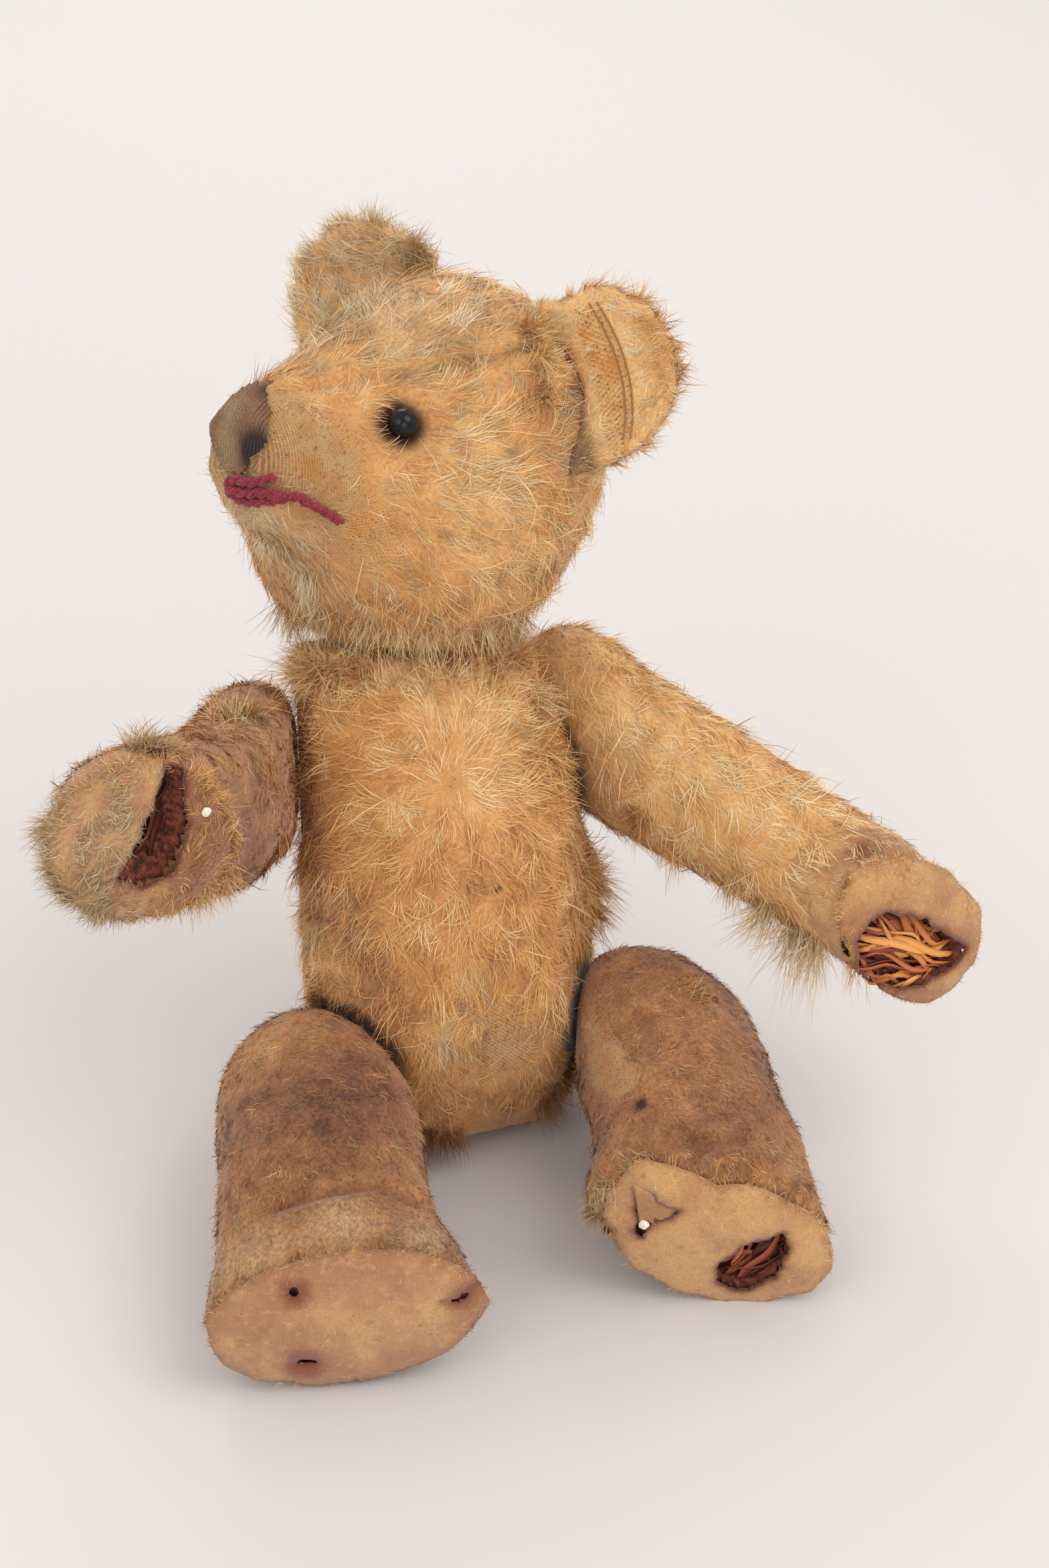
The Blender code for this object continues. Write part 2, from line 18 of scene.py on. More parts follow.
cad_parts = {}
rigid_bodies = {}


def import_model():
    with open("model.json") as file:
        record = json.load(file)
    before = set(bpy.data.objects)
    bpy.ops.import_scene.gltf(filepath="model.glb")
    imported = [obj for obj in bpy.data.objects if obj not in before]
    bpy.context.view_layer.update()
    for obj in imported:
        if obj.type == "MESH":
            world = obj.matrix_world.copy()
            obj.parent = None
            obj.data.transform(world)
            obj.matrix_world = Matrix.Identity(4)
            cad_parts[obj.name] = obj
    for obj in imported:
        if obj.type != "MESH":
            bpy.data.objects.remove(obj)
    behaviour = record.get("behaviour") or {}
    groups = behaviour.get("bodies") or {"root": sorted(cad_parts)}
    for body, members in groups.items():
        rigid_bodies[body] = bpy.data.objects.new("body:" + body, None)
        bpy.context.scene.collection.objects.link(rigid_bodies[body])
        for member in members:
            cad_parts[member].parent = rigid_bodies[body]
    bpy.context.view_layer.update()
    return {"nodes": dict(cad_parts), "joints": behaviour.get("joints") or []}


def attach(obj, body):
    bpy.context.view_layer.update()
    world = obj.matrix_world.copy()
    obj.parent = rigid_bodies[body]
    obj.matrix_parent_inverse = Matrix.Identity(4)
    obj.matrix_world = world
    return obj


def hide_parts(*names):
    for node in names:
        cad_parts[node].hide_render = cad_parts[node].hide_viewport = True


bl_info = {
    "name": "Threadbare Bear",
    "version": (1, 0, 0),
    "blender": (4, 5, 0),
    "location": "3D View > Sidebar > Bear",
    "description": "Dresses the packed frame of a jointed bear in worn mohair, felt, wood wool and thread",
    "category": "Object",
}

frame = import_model()
JOINTS = {joint["child"]: joint for joint in frame["joints"]}

MM = 0.001
NOSE_WAY = Vector((-0.84, -0.54, 0.0))

# Sizes in millimetres.
COVER_VOXEL = 3.0
EAR_VOXEL = 1.1
FILLING_INSET = 3.5
FLOOR_GAP = 0.3
PAD_STEP = 0.9
FELT_THICK = 0.7
FLAP_THICK = 0.6
HOLLOW_THICK = 0.4
SHAVING_THICK = 0.16
NARROW_HOLE = 2.0
EYE_RADIUS = 3.2
FLOSS_RADIUS = 0.46
FLOSS_STEP = 0.68
YARN_RADIUS = 0.68
YARN_TWIST = 5.0
STITCH_RADIUS = 0.2

TURNED_SIDES = 32
SIM_FRAMES = 14
EAR_HAIRS = 9000

# Each cover's tone, pile length in millimetres, lift of the pile in radians, share of grey hairs, and number of
# hairs against the torso's.
COVERS = {
    "torso": dict(tone=0.53, length=7.4, lift=0.28, grey=0.12, hairs=1.0),
    "head": dict(tone=0.61, length=7.4, lift=0.2, grey=0.38, hairs=1.0),
    "arm_right": dict(tone=0.4, length=5.2, lift=0.36, grey=0.25, hairs=0.42),
    "arm_left": dict(tone=0.72, length=7.0, lift=0.26, grey=0.25, hairs=0.52),
    "leg_right": dict(tone=0.37, length=3.0, lift=0.5, grey=0.42, hairs=0.58),
    "leg_left": dict(tone=0.36, length=3.0, lift=0.5, grey=0.34, hairs=0.58),
}

# Each pad: a point on it and the way it faces, its dome, lightness, the length (cover), width (edge) and tone
# (hair) of the hair round it, how dark and how deep its shavings lie, its rim's radius factor by angle, and its
# holes, zones and specks in the pad's own plane. A zone is its middle, its reach and what changes there.
PADS = {
    "arm_right": dict(point=(-70, -40, 114), out=(0.25, -0.95, -0.1), dome=3.0, light=0.12,
                      cover=4.2, edge=1.15, hair=0.5, dark=0.9, deep=3.2,
                      rim=((-180, 0.97), (60, 1.04), (110, 1.04), (180, 0.97)),
                      holes=(((5.0, 16.5), (6.2, 10.5), (5.2, 0), (1.8, -6.6), (-4.4, -8.2), (-8.4, -3.6),
                              (-4.8, 3.6), (-1.2, 11), (2.8, 16.3)),),
                      zones=(((12, 0), 14, dict(dusk=0.95, light=-0.2, long=1.8, dense=2.0)),
                             ((10, 12), 9, dict(dusk=0.7, long=1.2, dense=1.5)),
                             ((5, -13), 10, dict(dusk=0.8, long=1.2, dense=1.5)),
                             ((-14, 2), 16, dict(grey=0.85, long=1.6, dense=2.5)),
                             ((-11, -9), 9, dict(grey=0.7, long=2.0, dense=2.0, dusk=0.3)),
                             ((-9, 12), 9, dict(grey=0.6, long=2.0, dense=2.0)), ((-7, 5), 5, dict(light=0.5))),
                      specks=((9.8, 5.3, 1.0),)),
    "arm_left": dict(point=(84, -40, 62), out=(0.0, -0.95, 0.3), dome=2.6, light=0.0,
                     cover=1.6, edge=0.5, hair=0.66, dark=0.18, sleeve=7.5,
                     rim=((-180, 1.0), (-130, 1.02), (-100, 1.06), (-70, 1.04), (-40, 1.0), (180, 1.0)),
                     holes=(((-6.9, -1.5), (-3.5, 2.6), (1, 4.4), (5.5, 2.8), (9.5, 0.4), (14.5, -3.2), (18, -7.4),
                             (16.4, -10.6), (10, -13.0), (3.4, -13.8), (-2, -12.0), (-5.6, -8.4)),),
                     zones=(((0, 2), 26, dict(dusk=0.3)), ((-12, 3), 9, dict(dusk=0.2, long=0.8)),
                            ((3, 13), 9, dict(light=0.2, long=0.8)), ((16, 2), 8, dict(light=0.15)))),
    "leg_right": dict(point=(-45, -75, 17), out=(-0.208, -0.977, -0.035), dome=2.8, light=-0.08,
                      worn=0.4, cover=2.8, edge=0.6, hair=0.45, dark=0.4,
                      rim=((-180, 0.95), (-125, 0.92), (-70, 0.9), (-13, 0.92), (4, 0.96), (30, 1.04), (70, 1.08),
                           (120, 1.08), (150, 1.04), (180, 0.95)),
                      holes=(((-12, 10.5), (-10.8, 12.3), (-9.2, 11.2), (-10.4, 9.8)),
                             ((-12.3, -8.4), (-9.6, -6.9), (-6.6, -7.5), (-6.9, -8.5), (-9.4, -8.3)),
                             ((18.6, 5.9), (21.6, 4.2), (23.4, 5.3), (26.4, 9.0), (25.9, 9.6), (22.6, 6.1),
                              (21, 5.3))),
                      zones=(((-10.4, 11), 5.5, dict(stain=0.95)), ((-9, -8), 7.5, dict(stain=1.0)),
                             ((22, 6), 6, dict(stain=0.8)), ((0, 2), 9, dict(light=0.15)),
                             ((14, -6), 9, dict(dusk=0.3)), ((-18, 0), 7, dict(dusk=0.15, stain=0.1)))),
    "leg_left": dict(point=(32.7, -73, 19.2), out=(-0.342, -0.94, 0.0), dome=2.8, light=0.15,
                     cover=2.8, edge=0.6, hair=0.45, dark=0.62,
                     rim=((-180, 0.8), (-148, 0.93), (-108, 1.0), (-30, 0.98), (0, 0.94), (30, 0.84), (60, 0.76),
                          (88, 0.62), (112, 0.8), (130, 0.93), (150, 0.82), (180, 0.8)),
                     holes=(((1.3, -12.5), (2.6, -7.1), (6.5, -3), (11.1, -0.3), (14.8, 0.6), (16.2, -2.5),
                             (15.5, -7.8), (12.8, -12.4), (8.7, -15.6), (4.5, -15.2)),
                            ((-15.6, 11.4), (-11.3, 8.4), (-6.9, 6.5), (-8.6, 4.6), (-11.5, 3.4), (-13.2, 1.4),
                             (-14.2, -1.2), (-15.4, -0.6), (-14.8, 4))),
                     zones=(((-11, 5), 8, dict(stain=0.25, light=-0.2)), ((9, -7), 11, dict(stain=0.2)),
                            ((0, -14), 9, dict(light=0.25)), ((20, -4), 7, dict(light=0.2))),
                     specks=((-13.7, 2.6, 1.1),)),
}

SOFT = tuple(COVERS)
LIMBS = tuple(PADS)


def tint(code):
    """A colour code as the linear numbers that a shader takes."""
    parts = [int(code[i:i + 2], 16) / 255 for i in (0, 2, 4)]
    return tuple(c / 12.92 if c <= 0.04045 else ((c + 0.055) / 1.055) ** 2.4 for c in parts)


# ---- frames ----
def frame_from(x, y, z, point):
    """A frame at a point from its three ways."""
    made = Matrix((x, y, z)).transposed().to_4x4()
    made.translation = point
    return made


def axis_frame(point, axis, across=(0, 0, 1)):
    """A frame at a point, its Z along the axis and its X square to `across`."""
    z = Vector(axis).normalized()
    x = Vector(across).cross(z).normalized()
    return frame_from(x, z.cross(x), z, point)


def head_frame():
    """Origin where the neck turns, X to the bear's left, -Y the way the nose points, Z up the neck."""
    neck = JOINTS["head"]
    up = Vector(neck["axis"]).normalized()
    back = -NOSE_WAY
    back = (back - up * back.dot(up)).normalized()
    return frame_from(back.cross(up), back, up, Vector(neck["pos_m"]))


HEAD = head_frame()


def head_point(left, back, up):
    """A point given in millimetres of the head's frame, in the scene's metres."""
    return HEAD @ (Vector((left, back, up)) * MM)


def pad_frame(name):
    """Origin in the pad's plane, X across, Y up, Z out."""
    pad = PADS[name]
    return axis_frame(Vector(pad["point"]) * MM, pad["out"])


def inside_frame(place, spots):
    """Points as millimetres of a frame."""
    turn = np.array(place.inverted())
    return (spots @ turn[:3, :3].T + turn[:3, 3]) / MM


# ---- materials ----
class Wire:
    """An output socket that takes part in arithmetic."""

    def __init__(self, tree, socket):
        self.tree, self.socket = tree, socket

    def node(self, kind, settings=(), output=0, **values):
        return add_node(self.tree, kind, settings, output, **values)

    def math(self, operation, *values):
        made = self.tree.nodes.new("ShaderNodeMath")
        made.operation = operation
        for socket, value in zip(made.inputs, values):
            plug(self.tree, socket, value)
        return Wire(self.tree, made.outputs[0])

    def __add__(self, other):
        return self.math("ADD", self, other)

    def __sub__(self, other):
        return self.math("SUBTRACT", self, other)

    def __mul__(self, other):
        return self.math("MULTIPLY", self, other)

    def sine(self):
        return self.math("SINE", self)

    def over(self, low, high, start=0.0, end=1.0):
        """Goes from start to end, smoothly, as this goes from low to high."""
        return self.node("ShaderNodeMapRange", (("interpolation_type", "SMOOTHSTEP"),), 0,
                         Value=self, From_Min=low, From_Max=high, To_Min=start, To_Max=end)

    def mix(self, low, high):
        """A colour between two, by this factor."""
        made = self.tree.nodes.new("ShaderNodeMix")
        made.data_type = "RGBA"
        for index, value in ((0, self), (6, low), (7, high)):
            plug(self.tree, made.inputs[index], value)
        return Wire(self.tree, made.outputs[2])


def plug(tree, socket, value):
    """Links a wire to a socket, or sets the socket's own value."""
    if isinstance(value, Wire):
        tree.links.new(value.socket, socket)
    elif socket.type == "RGBA":
        socket.default_value = (*value[:3], 1.0)
    else:
        socket.default_value = value


def add_node(tree, kind, settings=(), output=0, **values):
    """Adds a node with its settings, then its socket values, and gives back one output."""
    made = tree.nodes.new(kind)
    for key, value in settings:
        if key == "stops":
            ramp = made.color_ramp
            while len(ramp.elements) < len(value):
                ramp.elements.new(0.5)
            for element, (place, colour) in zip(ramp.elements, value):
                element.position = place
                element.color = (*colour, 1.0)
        else:
            setattr(made, key, value)
    for key, value in values.items():
        plug(tree, made.inputs[key.replace("_", " ")], value)
    return Wire(tree, made.outputs[output])


class Finish:
    """A material in the making: patterns on the piece, then one Principled shader."""

    def __init__(self, name):
        self.material = bpy.data.materials.new(name)
        self.material.use_nodes = True
        self.tree = self.material.node_tree
        self.shader = self.tree.nodes["Principled BSDF"]

    def node(self, kind, settings=(), output=0, **values):
        return add_node(self.tree, kind, settings, output, **values)

    def place(self, *scale):
        """Where each point is, in millimetres, stretched by a scale along each axis."""
        where = self.node("ShaderNodeTexCoord", output=3)
        scale = scale or (1, 1, 1)
        return self.node("ShaderNodeMapping", Vector=where, Scale=tuple(s * 1000 for s in scale))

    def noise(self, size, detail=3.0, rough=0.55, where=None):
        """Noise with features of about `size` millimetres."""
        return self.node("ShaderNodeTexNoise", Vector=where or self.place(),
                         Scale=1 / size, Detail=detail, Roughness=rough)

    def attribute(self, name):
        return self.node("ShaderNodeAttribute", (("attribute_name", name),), 2)

    def map(self, name):
        """Across and along of the piece's own map."""
        both = self.node("ShaderNodeUVMap", (("uv_map", name),))
        parts = self.tree.nodes.new("ShaderNodeSeparateXYZ")
        plug(self.tree, parts.inputs[0], both)
        return Wire(self.tree, parts.outputs[0]), Wire(self.tree, parts.outputs[1])

    def ramp(self, factor, *stops):
        return self.node("ShaderNodeValToRGB", (("stops", stops),), Fac=factor)

    def bump(self, height, depth):
        """Bump from a height of 0 to 1 that stands for `depth` millimetres."""
        return self.node("ShaderNodeBump", Height=height, Distance=depth * MM, Strength=1.0)

    def done(self, colour, roughness=0.9, normal=None, **values):
        plug(self.tree, self.shader.inputs["Base Color"], colour)
        plug(self.tree, self.shader.inputs["Roughness"], roughness)
        if normal:
            plug(self.tree, self.shader.inputs["Normal"], normal)
        for key, value in values.items():
            plug(self.tree, self.shader.inputs[key.replace("_", " ")], value)
        return self.material


def once(make):
    """Makes each material a single time."""
    def found():
        return bpy.data.materials.get(make.__name__) or make(make.__name__)
    return found


@once
def woven_mohair(name):
    """The cloth under the pile: warp and weft show where it's bald; soil and painted shade darken it."""
    look = bpy.context.scene.threadbare_bear
    made = Finish(name)
    across, along = made.map("weave")
    threads = (across * 6.6).sine() * (along * 6.6).sine()
    fleck = made.noise(0.8, 3)
    blotch = made.noise(5, 4)
    cloth = blotch.over(0.3, 0.75).mix(look.weave, look.weave_gold)
    cloth = threads.over(-0.6, 0.75, 0.1, 0.0).mix(cloth, look.weave_shade)
    cloth = (threads * fleck.over(0.44, 0.6)).over(0.1, 0.5, 0.0, 0.8).mix(cloth, look.under_shade)
    cloth = fleck.over(0.6, 0.7, 0.0, 0.6).mix(cloth, look.under_deep)
    tone = made.attribute("tone") + (fleck - 0.5) * 0.55 + (blotch - 0.5) * 0.35
    nap = made.ramp(tone, (0.0, look.under_deep), (0.35, look.under_shade), (0.62, look.under),
                    (1.0, look.under_light))
    colour = (made.attribute("bald") + (fleck - 0.5) * 1.3 + (blotch - 0.5) * 0.7).over(0.3, 0.9).mix(nap, cloth)
    faded = (made.attribute("faded") + (blotch - 0.5) * 0.4).over(0.15, 0.85, 0.0, 0.6)
    colour = faded.mix(colour, fleck.over(0.35, 0.65).mix(look.grey, look.grey_light))
    # Darkens towards the soil colour: ground-in dirt, and painted shade between bodies, along seams and at the
    # ears' roots.
    colour = (made.attribute("soil") + (blotch - 0.5) * 0.3).over(0.1, 0.95).mix(colour, look.soil)
    height = threads * (made.attribute("bald") * 0.5) + fleck * 0.7
    return made.done(colour, 0.95, made.bump(height, 0.4), Sheen_Weight=0.25, Specular_IOR_Level=0.15)


@once
def mohair_pile(name):
    """Hairs: the map's first number is each hair's tone, golden below a half and grey above it, and the
    second runs from root to tip."""
    look = bpy.context.scene.threadbare_bear
    made = Finish(name)
    tone, along = made.map("OFBake")
    golden = ((0.0, look.pile_deep), (0.12, look.pile_shade), (0.24, look.pile), (0.36, look.pile_light),
              (0.48, look.pile_pale))
    grey = ((0.52, look.grey_deep), (0.67, look.grey), (0.84, look.grey_light), (1.0, look.grey_pale))
    colour = made.ramp(tone, *(golden + grey))
    colour = along.over(0.0, 0.5, 0.4, 0.0).mix(colour, look.pile_root)
    return made.done(colour, 0.8, Specular_IOR_Level=0.12)


@once
def pad_felt(name):
    look = bpy.context.scene.threadbare_bear
    made = Finish(name)
    fibre = made.noise(0.5, 5, 0.7)
    cloud = made.noise(7, 4)
    patch = made.noise(2.2, 4, 0.6)
    colour = (cloud + made.attribute("light")).over(0.3, 0.75).mix(look.felt_shade, look.felt)
    colour = patch.over(0.5, 0.72, 0.0, 0.45).mix(colour, look.felt_light)
    colour = fibre.over(0.35, 0.75, 0.0, 0.45).mix(colour, look.felt_deep)
    stain = made.noise(3.5, 4, 0.6)
    colour = stain.over(0.54, 0.72, 0.0, 0.55).mix(colour, look.felt_deep)
    colour = (made.attribute("dusk") + (patch - 0.5) * 0.5).over(0.1, 0.9).mix(colour, look.felt_brown)
    marks = made.attribute("stain") + (stain - 0.5) * 0.8 + (fibre - 0.5) * 0.4
    colour = marks.over(0.2, 0.9).mix(colour, look.felt_stain)
    colour = made.attribute("soil").over(0.0, 1.0).mix(colour, look.soil_red)
    return made.done(colour, 0.95, made.bump(fibre + patch * 1.5, 0.3), Sheen_Weight=0.3, Specular_IOR_Level=0.15)


@once
def shaving_wood(name):
    """Curled shavings, each of its own tone."""
    look = bpy.context.scene.threadbare_bear
    made = Finish(name)
    tone, along = made.map("OFBake")
    colour = made.ramp(tone, (0.0, look.straw_deep), (0.3, look.straw_shade),
                       (0.65, look.straw), (1.0, look.straw_light))
    colour = along.over(0.1, 0.4, 0.35, 0.0).mix(colour, look.straw_shade)
    return made.done(colour, 0.6, Specular_IOR_Level=0.3)


@once
def packed_shavings(name):
    look = bpy.context.scene.threadbare_bear
    made = Finish(name)
    grain = made.noise(1.2, 4, 0.6, made.place(1, 0.25, 1))
    colour = grain.over(0.3, 0.7).mix(look.straw_deep, look.straw_shade)
    return made.done(colour, 0.8, made.bump(grain, 0.8))


@once
def pale_wadding(name):
    made = Finish(name)
    return made.done(made.noise(0.6, 3).over(0.3, 0.7).mix(tint("FBF3E4"), tint("DCCBAE")), 0.95, Sheen_Weight=0.3)


@once
def disc_board(name):
    made = Finish(name)
    grain = made.noise(0.7, 5, 0.7)
    colour = grain.over(0.3, 0.75).mix(tint("8A6B47"), tint("5E452B"))
    return made.done(colour, 0.85, made.bump(grain, 0.15))


@once
def dull_steel(name):
    made = Finish(name)
    stain = made.noise(1.5, 4, 0.6)
    colour = stain.over(0.5, 0.7).mix(tint("A8A49C"), tint("6E5A45"))
    return made.done(colour, stain.over(0.3, 0.8, 0.3, 0.65), Metallic=1.0)


@once
def bead_glass(name):
    made = Finish(name)
    haze = made.noise(1.5, 2)
    colour = haze.over(0.4, 0.7).mix(tint("080808"), tint("101113"))
    return made.done(colour, haze.over(0.3, 0.7, 0.04, 0.1), Specular_IOR_Level=0.3)


@once
def nose_stitches(name):
    look = bpy.context.scene.threadbare_bear
    made = Finish(name)
    twist = made.noise(0.45, 3, 0.6)
    worn = made.attribute("wear")
    colour = made.ramp(worn, (0.0, look.floss_deep), (0.45, look.floss), (1.0, look.floss_worn))
    colour = twist.over(0.4, 0.7, 0.0, 0.5).mix(colour, look.floss_deep)
    return made.done(colour, 0.7, made.bump(twist, 0.15))


@once
def mouth_yarn(name):
    look = bpy.context.scene.threadbare_bear
    made = Finish(name)
    twist = made.noise(0.5, 3, 0.6)
    colour = twist.over(0.3, 0.7).mix(look.yarn, look.yarn_shade)
    return made.done(colour, 0.9, made.bump(twist, 0.2), Sheen_Weight=0.2)


@once
def seam_cotton(name):
    look = bpy.context.scene.threadbare_bear
    made = Finish(name)
    return made.done(made.noise(0.6).over(0.3, 0.7).mix(look.weave_shade, look.under_shade), 0.85)


@once
def floor_paper(name):
    made = Finish(name)
    return made.done(tint("D8D3D0"), 0.9, Specular_IOR_Level=0.1)


# ---- mesh helpers ----
def new_piece(name, mesh, *surfaces):
    """Links a mesh or a bmesh as a shown object with its materials."""
    if isinstance(mesh, bmesh.types.BMesh):
        data = bpy.data.meshes.new(name)
        mesh.to_mesh(data)
        mesh.free()
        data.shade_smooth()
        mesh = data
    for surface in surfaces:
        mesh.materials.append(surface)
    made = bpy.data.objects.new(name, mesh)
    bpy.context.scene.collection.objects.link(made)
    return made


def apply_all(piece):
    """Gives a piece the mesh that its modifiers make, and removes them."""
    graph = bpy.context.evaluated_depsgraph_get()
    graph.update()
    shaped = bpy.data.meshes.new_from_object(piece.evaluated_get(graph), depsgraph=graph)
    piece.modifiers.clear()
    old, piece.data = piece.data, shaped
    bpy.data.meshes.remove(old)
    return piece


def thicken(piece, depth):
    """Gives an open piece a thickness in millimetres, behind its faces."""
    step = piece.modifiers.new("thickness", "SOLIDIFY")
    step.thickness = depth * MM
    step.offset = -1
    apply_all(piece)


def places(mesh):
    """Where each point of a mesh is."""
    found = np.empty(len(mesh.vertices) * 3)
    mesh.vertices.foreach_get("co", found)
    return found.reshape(-1, 3)


def ways(mesh):
    """Which way each point of a mesh faces."""
    found = np.empty(len(mesh.vertices) * 3, np.float32)
    mesh.vertex_normals.foreach_get("vector", found)
    return found.reshape(-1, 3).astype(float)


def move_to(mesh, spots):
    mesh.vertices.foreach_set("co", np.asarray(spots, np.float32).ravel())
    mesh.update()


def store(mesh, name, values):
    """Keeps one number per point on the mesh."""
    held = mesh.attributes.get(name) or mesh.attributes.new(name, "FLOAT", "POINT")
    held.data.foreach_set("value", np.asarray(values, np.float32))


def corner_points(mesh):
    """The point at each face corner."""
    found = np.empty(len(mesh.loops), np.int32)
    mesh.loops.foreach_get("vertex_index", found)
    return found


def stored(mesh, name):
    """Reads back what store() kept."""
    found = np.empty(len(mesh.vertices), np.float32)
    mesh.attributes[name].data.foreach_get("value", found)
    return found.astype(float)


def unit(rows):
    return rows / np.maximum(np.linalg.norm(rows, axis=1), 1e-12)[:, None]


def along_skin(flow, way):
    """A flow laid flat on a surface that faces `way`."""
    return unit(flow - way * (flow * way).sum(1)[:, None])


def near(spots, centre, reach):
    """1 at a point given in millimetres, falling smoothly to 0 at about twice the reach."""
    gap = np.linalg.norm(spots / MM - np.array(centre, float), axis=1)
    return np.exp(-(gap / reach) ** 2)


def lumps(spots, size, seed=0.0):
    """Smooth noise from -1 to 1 with features of about `size` millimetres."""
    shift = Vector((seed * 17.3, seed * 5.1, seed * 9.7))
    scale = 1 / (size * MM)
    return np.array([noise.noise(Vector(p) * scale + shift) for p in spots])


def swirls(spots, size, seed=0.0):
    """Smooth noise with a direction, its features of about `size` millimetres."""
    shift = Vector((seed * 7.7, seed * 3.3, seed * 1.9))
    scale = 1 / (size * MM)
    return np.array([noise.noise_vector(Vector(p) * scale + shift) for p in spots])


def largest_part(mesh):
    """Deletes every shell of a bmesh but the one with the most faces."""
    left, best = set(mesh.faces), []
    while left:
        found, edge = [], [next(iter(left))]
        left.discard(edge[0])
        while edge:
            face = edge.pop()
            found.append(face)
            for side in face.edges:
                for other in side.link_faces:
                    if other in left:
                        left.discard(other)
                        edge.append(other)
        if len(found) > len(best):
            best = found
    keep = set(best)
    bmesh.ops.delete(mesh, geom=[f for f in mesh.faces if f not in keep], context="FACES")


def voxel_copy(name, nodes, size, smoothing):
    """One closed body in the shape of several CAD solids, with even faces."""
    mesh = bmesh.new()
    for node in nodes:
        mesh.from_mesh(frame["nodes"][node].data)
    bmesh.ops.remove_doubles(mesh, verts=mesh.verts, dist=1e-6)
    piece = new_piece(name, mesh)
    step = piece.modifiers.new("remesh", "REMESH")
    step.mode = "VOXEL"
    step.voxel_size = size * MM
    apply_all(piece)
    mesh = bmesh.new()
    mesh.from_mesh(piece.data)
    largest_part(mesh)
    for _ in range(smoothing):
        bmesh.ops.smooth_vert(mesh, verts=mesh.verts, factor=0.5, use_axis_x=True, use_axis_y=True,
                              use_axis_z=True)
    mesh.to_mesh(piece.data)
    mesh.free()
    return piece


def subdivided(piece):
    step = piece.modifiers.new("subdivide", "SUBSURF")
    step.levels = step.render_levels = 1
    apply_all(piece)
    piece.data.shade_smooth()
    return piece


def mesh_tree(mesh):
    """A mesh ready to be asked for its nearest point or for a ray's hit."""
    mesh.calc_loop_triangles()
    return BVHTree.FromPolygons([v.co for v in mesh.vertices], [t.vertices[:] for t in mesh.loop_triangles])


def body_tree(name):
    return mesh_tree(frame["nodes"][name + "_cover"].data)


# ---- covers ----
def inflate(piece, held, pressure, limit):
    """Blows a closed cover out against its seams: a cloth simulation, with the movement capped."""
    before = places(piece.data)
    group = piece.vertex_groups.new(name="held")
    for i in np.flatnonzero(held > 0.01):
        group.add([int(i)], float(min(held[i], 1.0)), "REPLACE")
    cloth = piece.modifiers.new("cloth", "CLOTH")
    settings = cloth.settings
    settings.quality = 4
    settings.mass = 0.2
    settings.tension_stiffness = settings.compression_stiffness = 12
    settings.bending_stiffness = 0.4
    settings.use_pressure = True
    settings.uniform_pressure_force = pressure
    settings.vertex_group_mass = "held"
    settings.effector_weights.gravity = 0
    cloth.collision_settings.use_collision = False
    scene = bpy.context.scene
    for number in range(1, SIM_FRAMES + 1):
        scene.frame_set(number)
    apply_all(piece)
    scene.frame_set(1)
    moved = places(piece.data) - before
    far = np.linalg.norm(moved, axis=1)
    moved *= (np.minimum(far, limit * MM) / np.maximum(far, 1e-9))[:, None]
    move_to(piece.data, before + moved)


def line_gap(spots, route):
    """Each point's distance in millimetres from a route through points in millimetres."""
    best = np.full(len(spots), 1e9)
    at = spots / MM
    for a, b in zip(route, route[1:]):
        a, b = np.array(a, float), np.array(b, float)
        share = np.clip((at - a) @ (b - a) / max((b - a) @ (b - a), 1e-9), 0, 1)
        best = np.minimum(best, np.linalg.norm(at - a - share[:, None] * (b - a), axis=1))
    return best


def from_head(*points):
    """Points of the head's own frame, in millimetres of the row's frame."""
    return [tuple(head_point(*p) / MM) for p in points]


SEAMS = {
    "head": (
        from_head((4, -44, 58.5), (7.3, -33.1, 58.7), (12.5, -20.8, 60.3), (19.2, -9.9, 61.7), (25.1, 2.1, 63.4),
                  (26.9, 12.9, 64.7)),
        from_head((-4, -44, 58.5), (-7.3, -33.1, 58.7), (-12.5, -20.8, 60.3), (-19.2, -9.9, 61.7),
                  (-25.1, 2.1, 63.4), (-26.9, 12.9, 64.7)),
        from_head((27, 22, 62), (20, 38, 48), (14, 46, 30), (9, 40, 8)),
        from_head((-27, 22, 62), (-20, 38, 48), (-14, 46, 30), (-9, 40, 8)),
        from_head((0, -47, 33), (0, -44, 24), (0, -34, 14), (0, -18, 2)),
    ),
    "torso": (
        [(0, 10, 108), (0.5, -3, 90), (3, -12, 72), (1, -22, 50), (-1, -23.4, 34.7), (-3, -18, 8)],
        [(0, 62, 108), (0, 52, 70), (0, 36, 30), (0, 20, 4)],
    ),
    "arm_left": ([(70.6, -31.2, 74.5), (76, -32.5, 77), (81.3, -33.1, 78), (85, -33, 77)],
                 [(94, -20, 66), (97.9, -25.5, 63.3), (102.6, -36.5, 64.3)]),
    "leg_right": ([(-58, -56, 32), (-52.1, -58.5, 36.4), (-43.4, -60.2, 38.1), (-35.5, -60.0, 38.2),
                   (-27.8, -63.4, 33.9)],),
    "leg_left": ([(24, -66, 40), (31.3, -67.7, 39.0), (41, -68, 37)],),
}


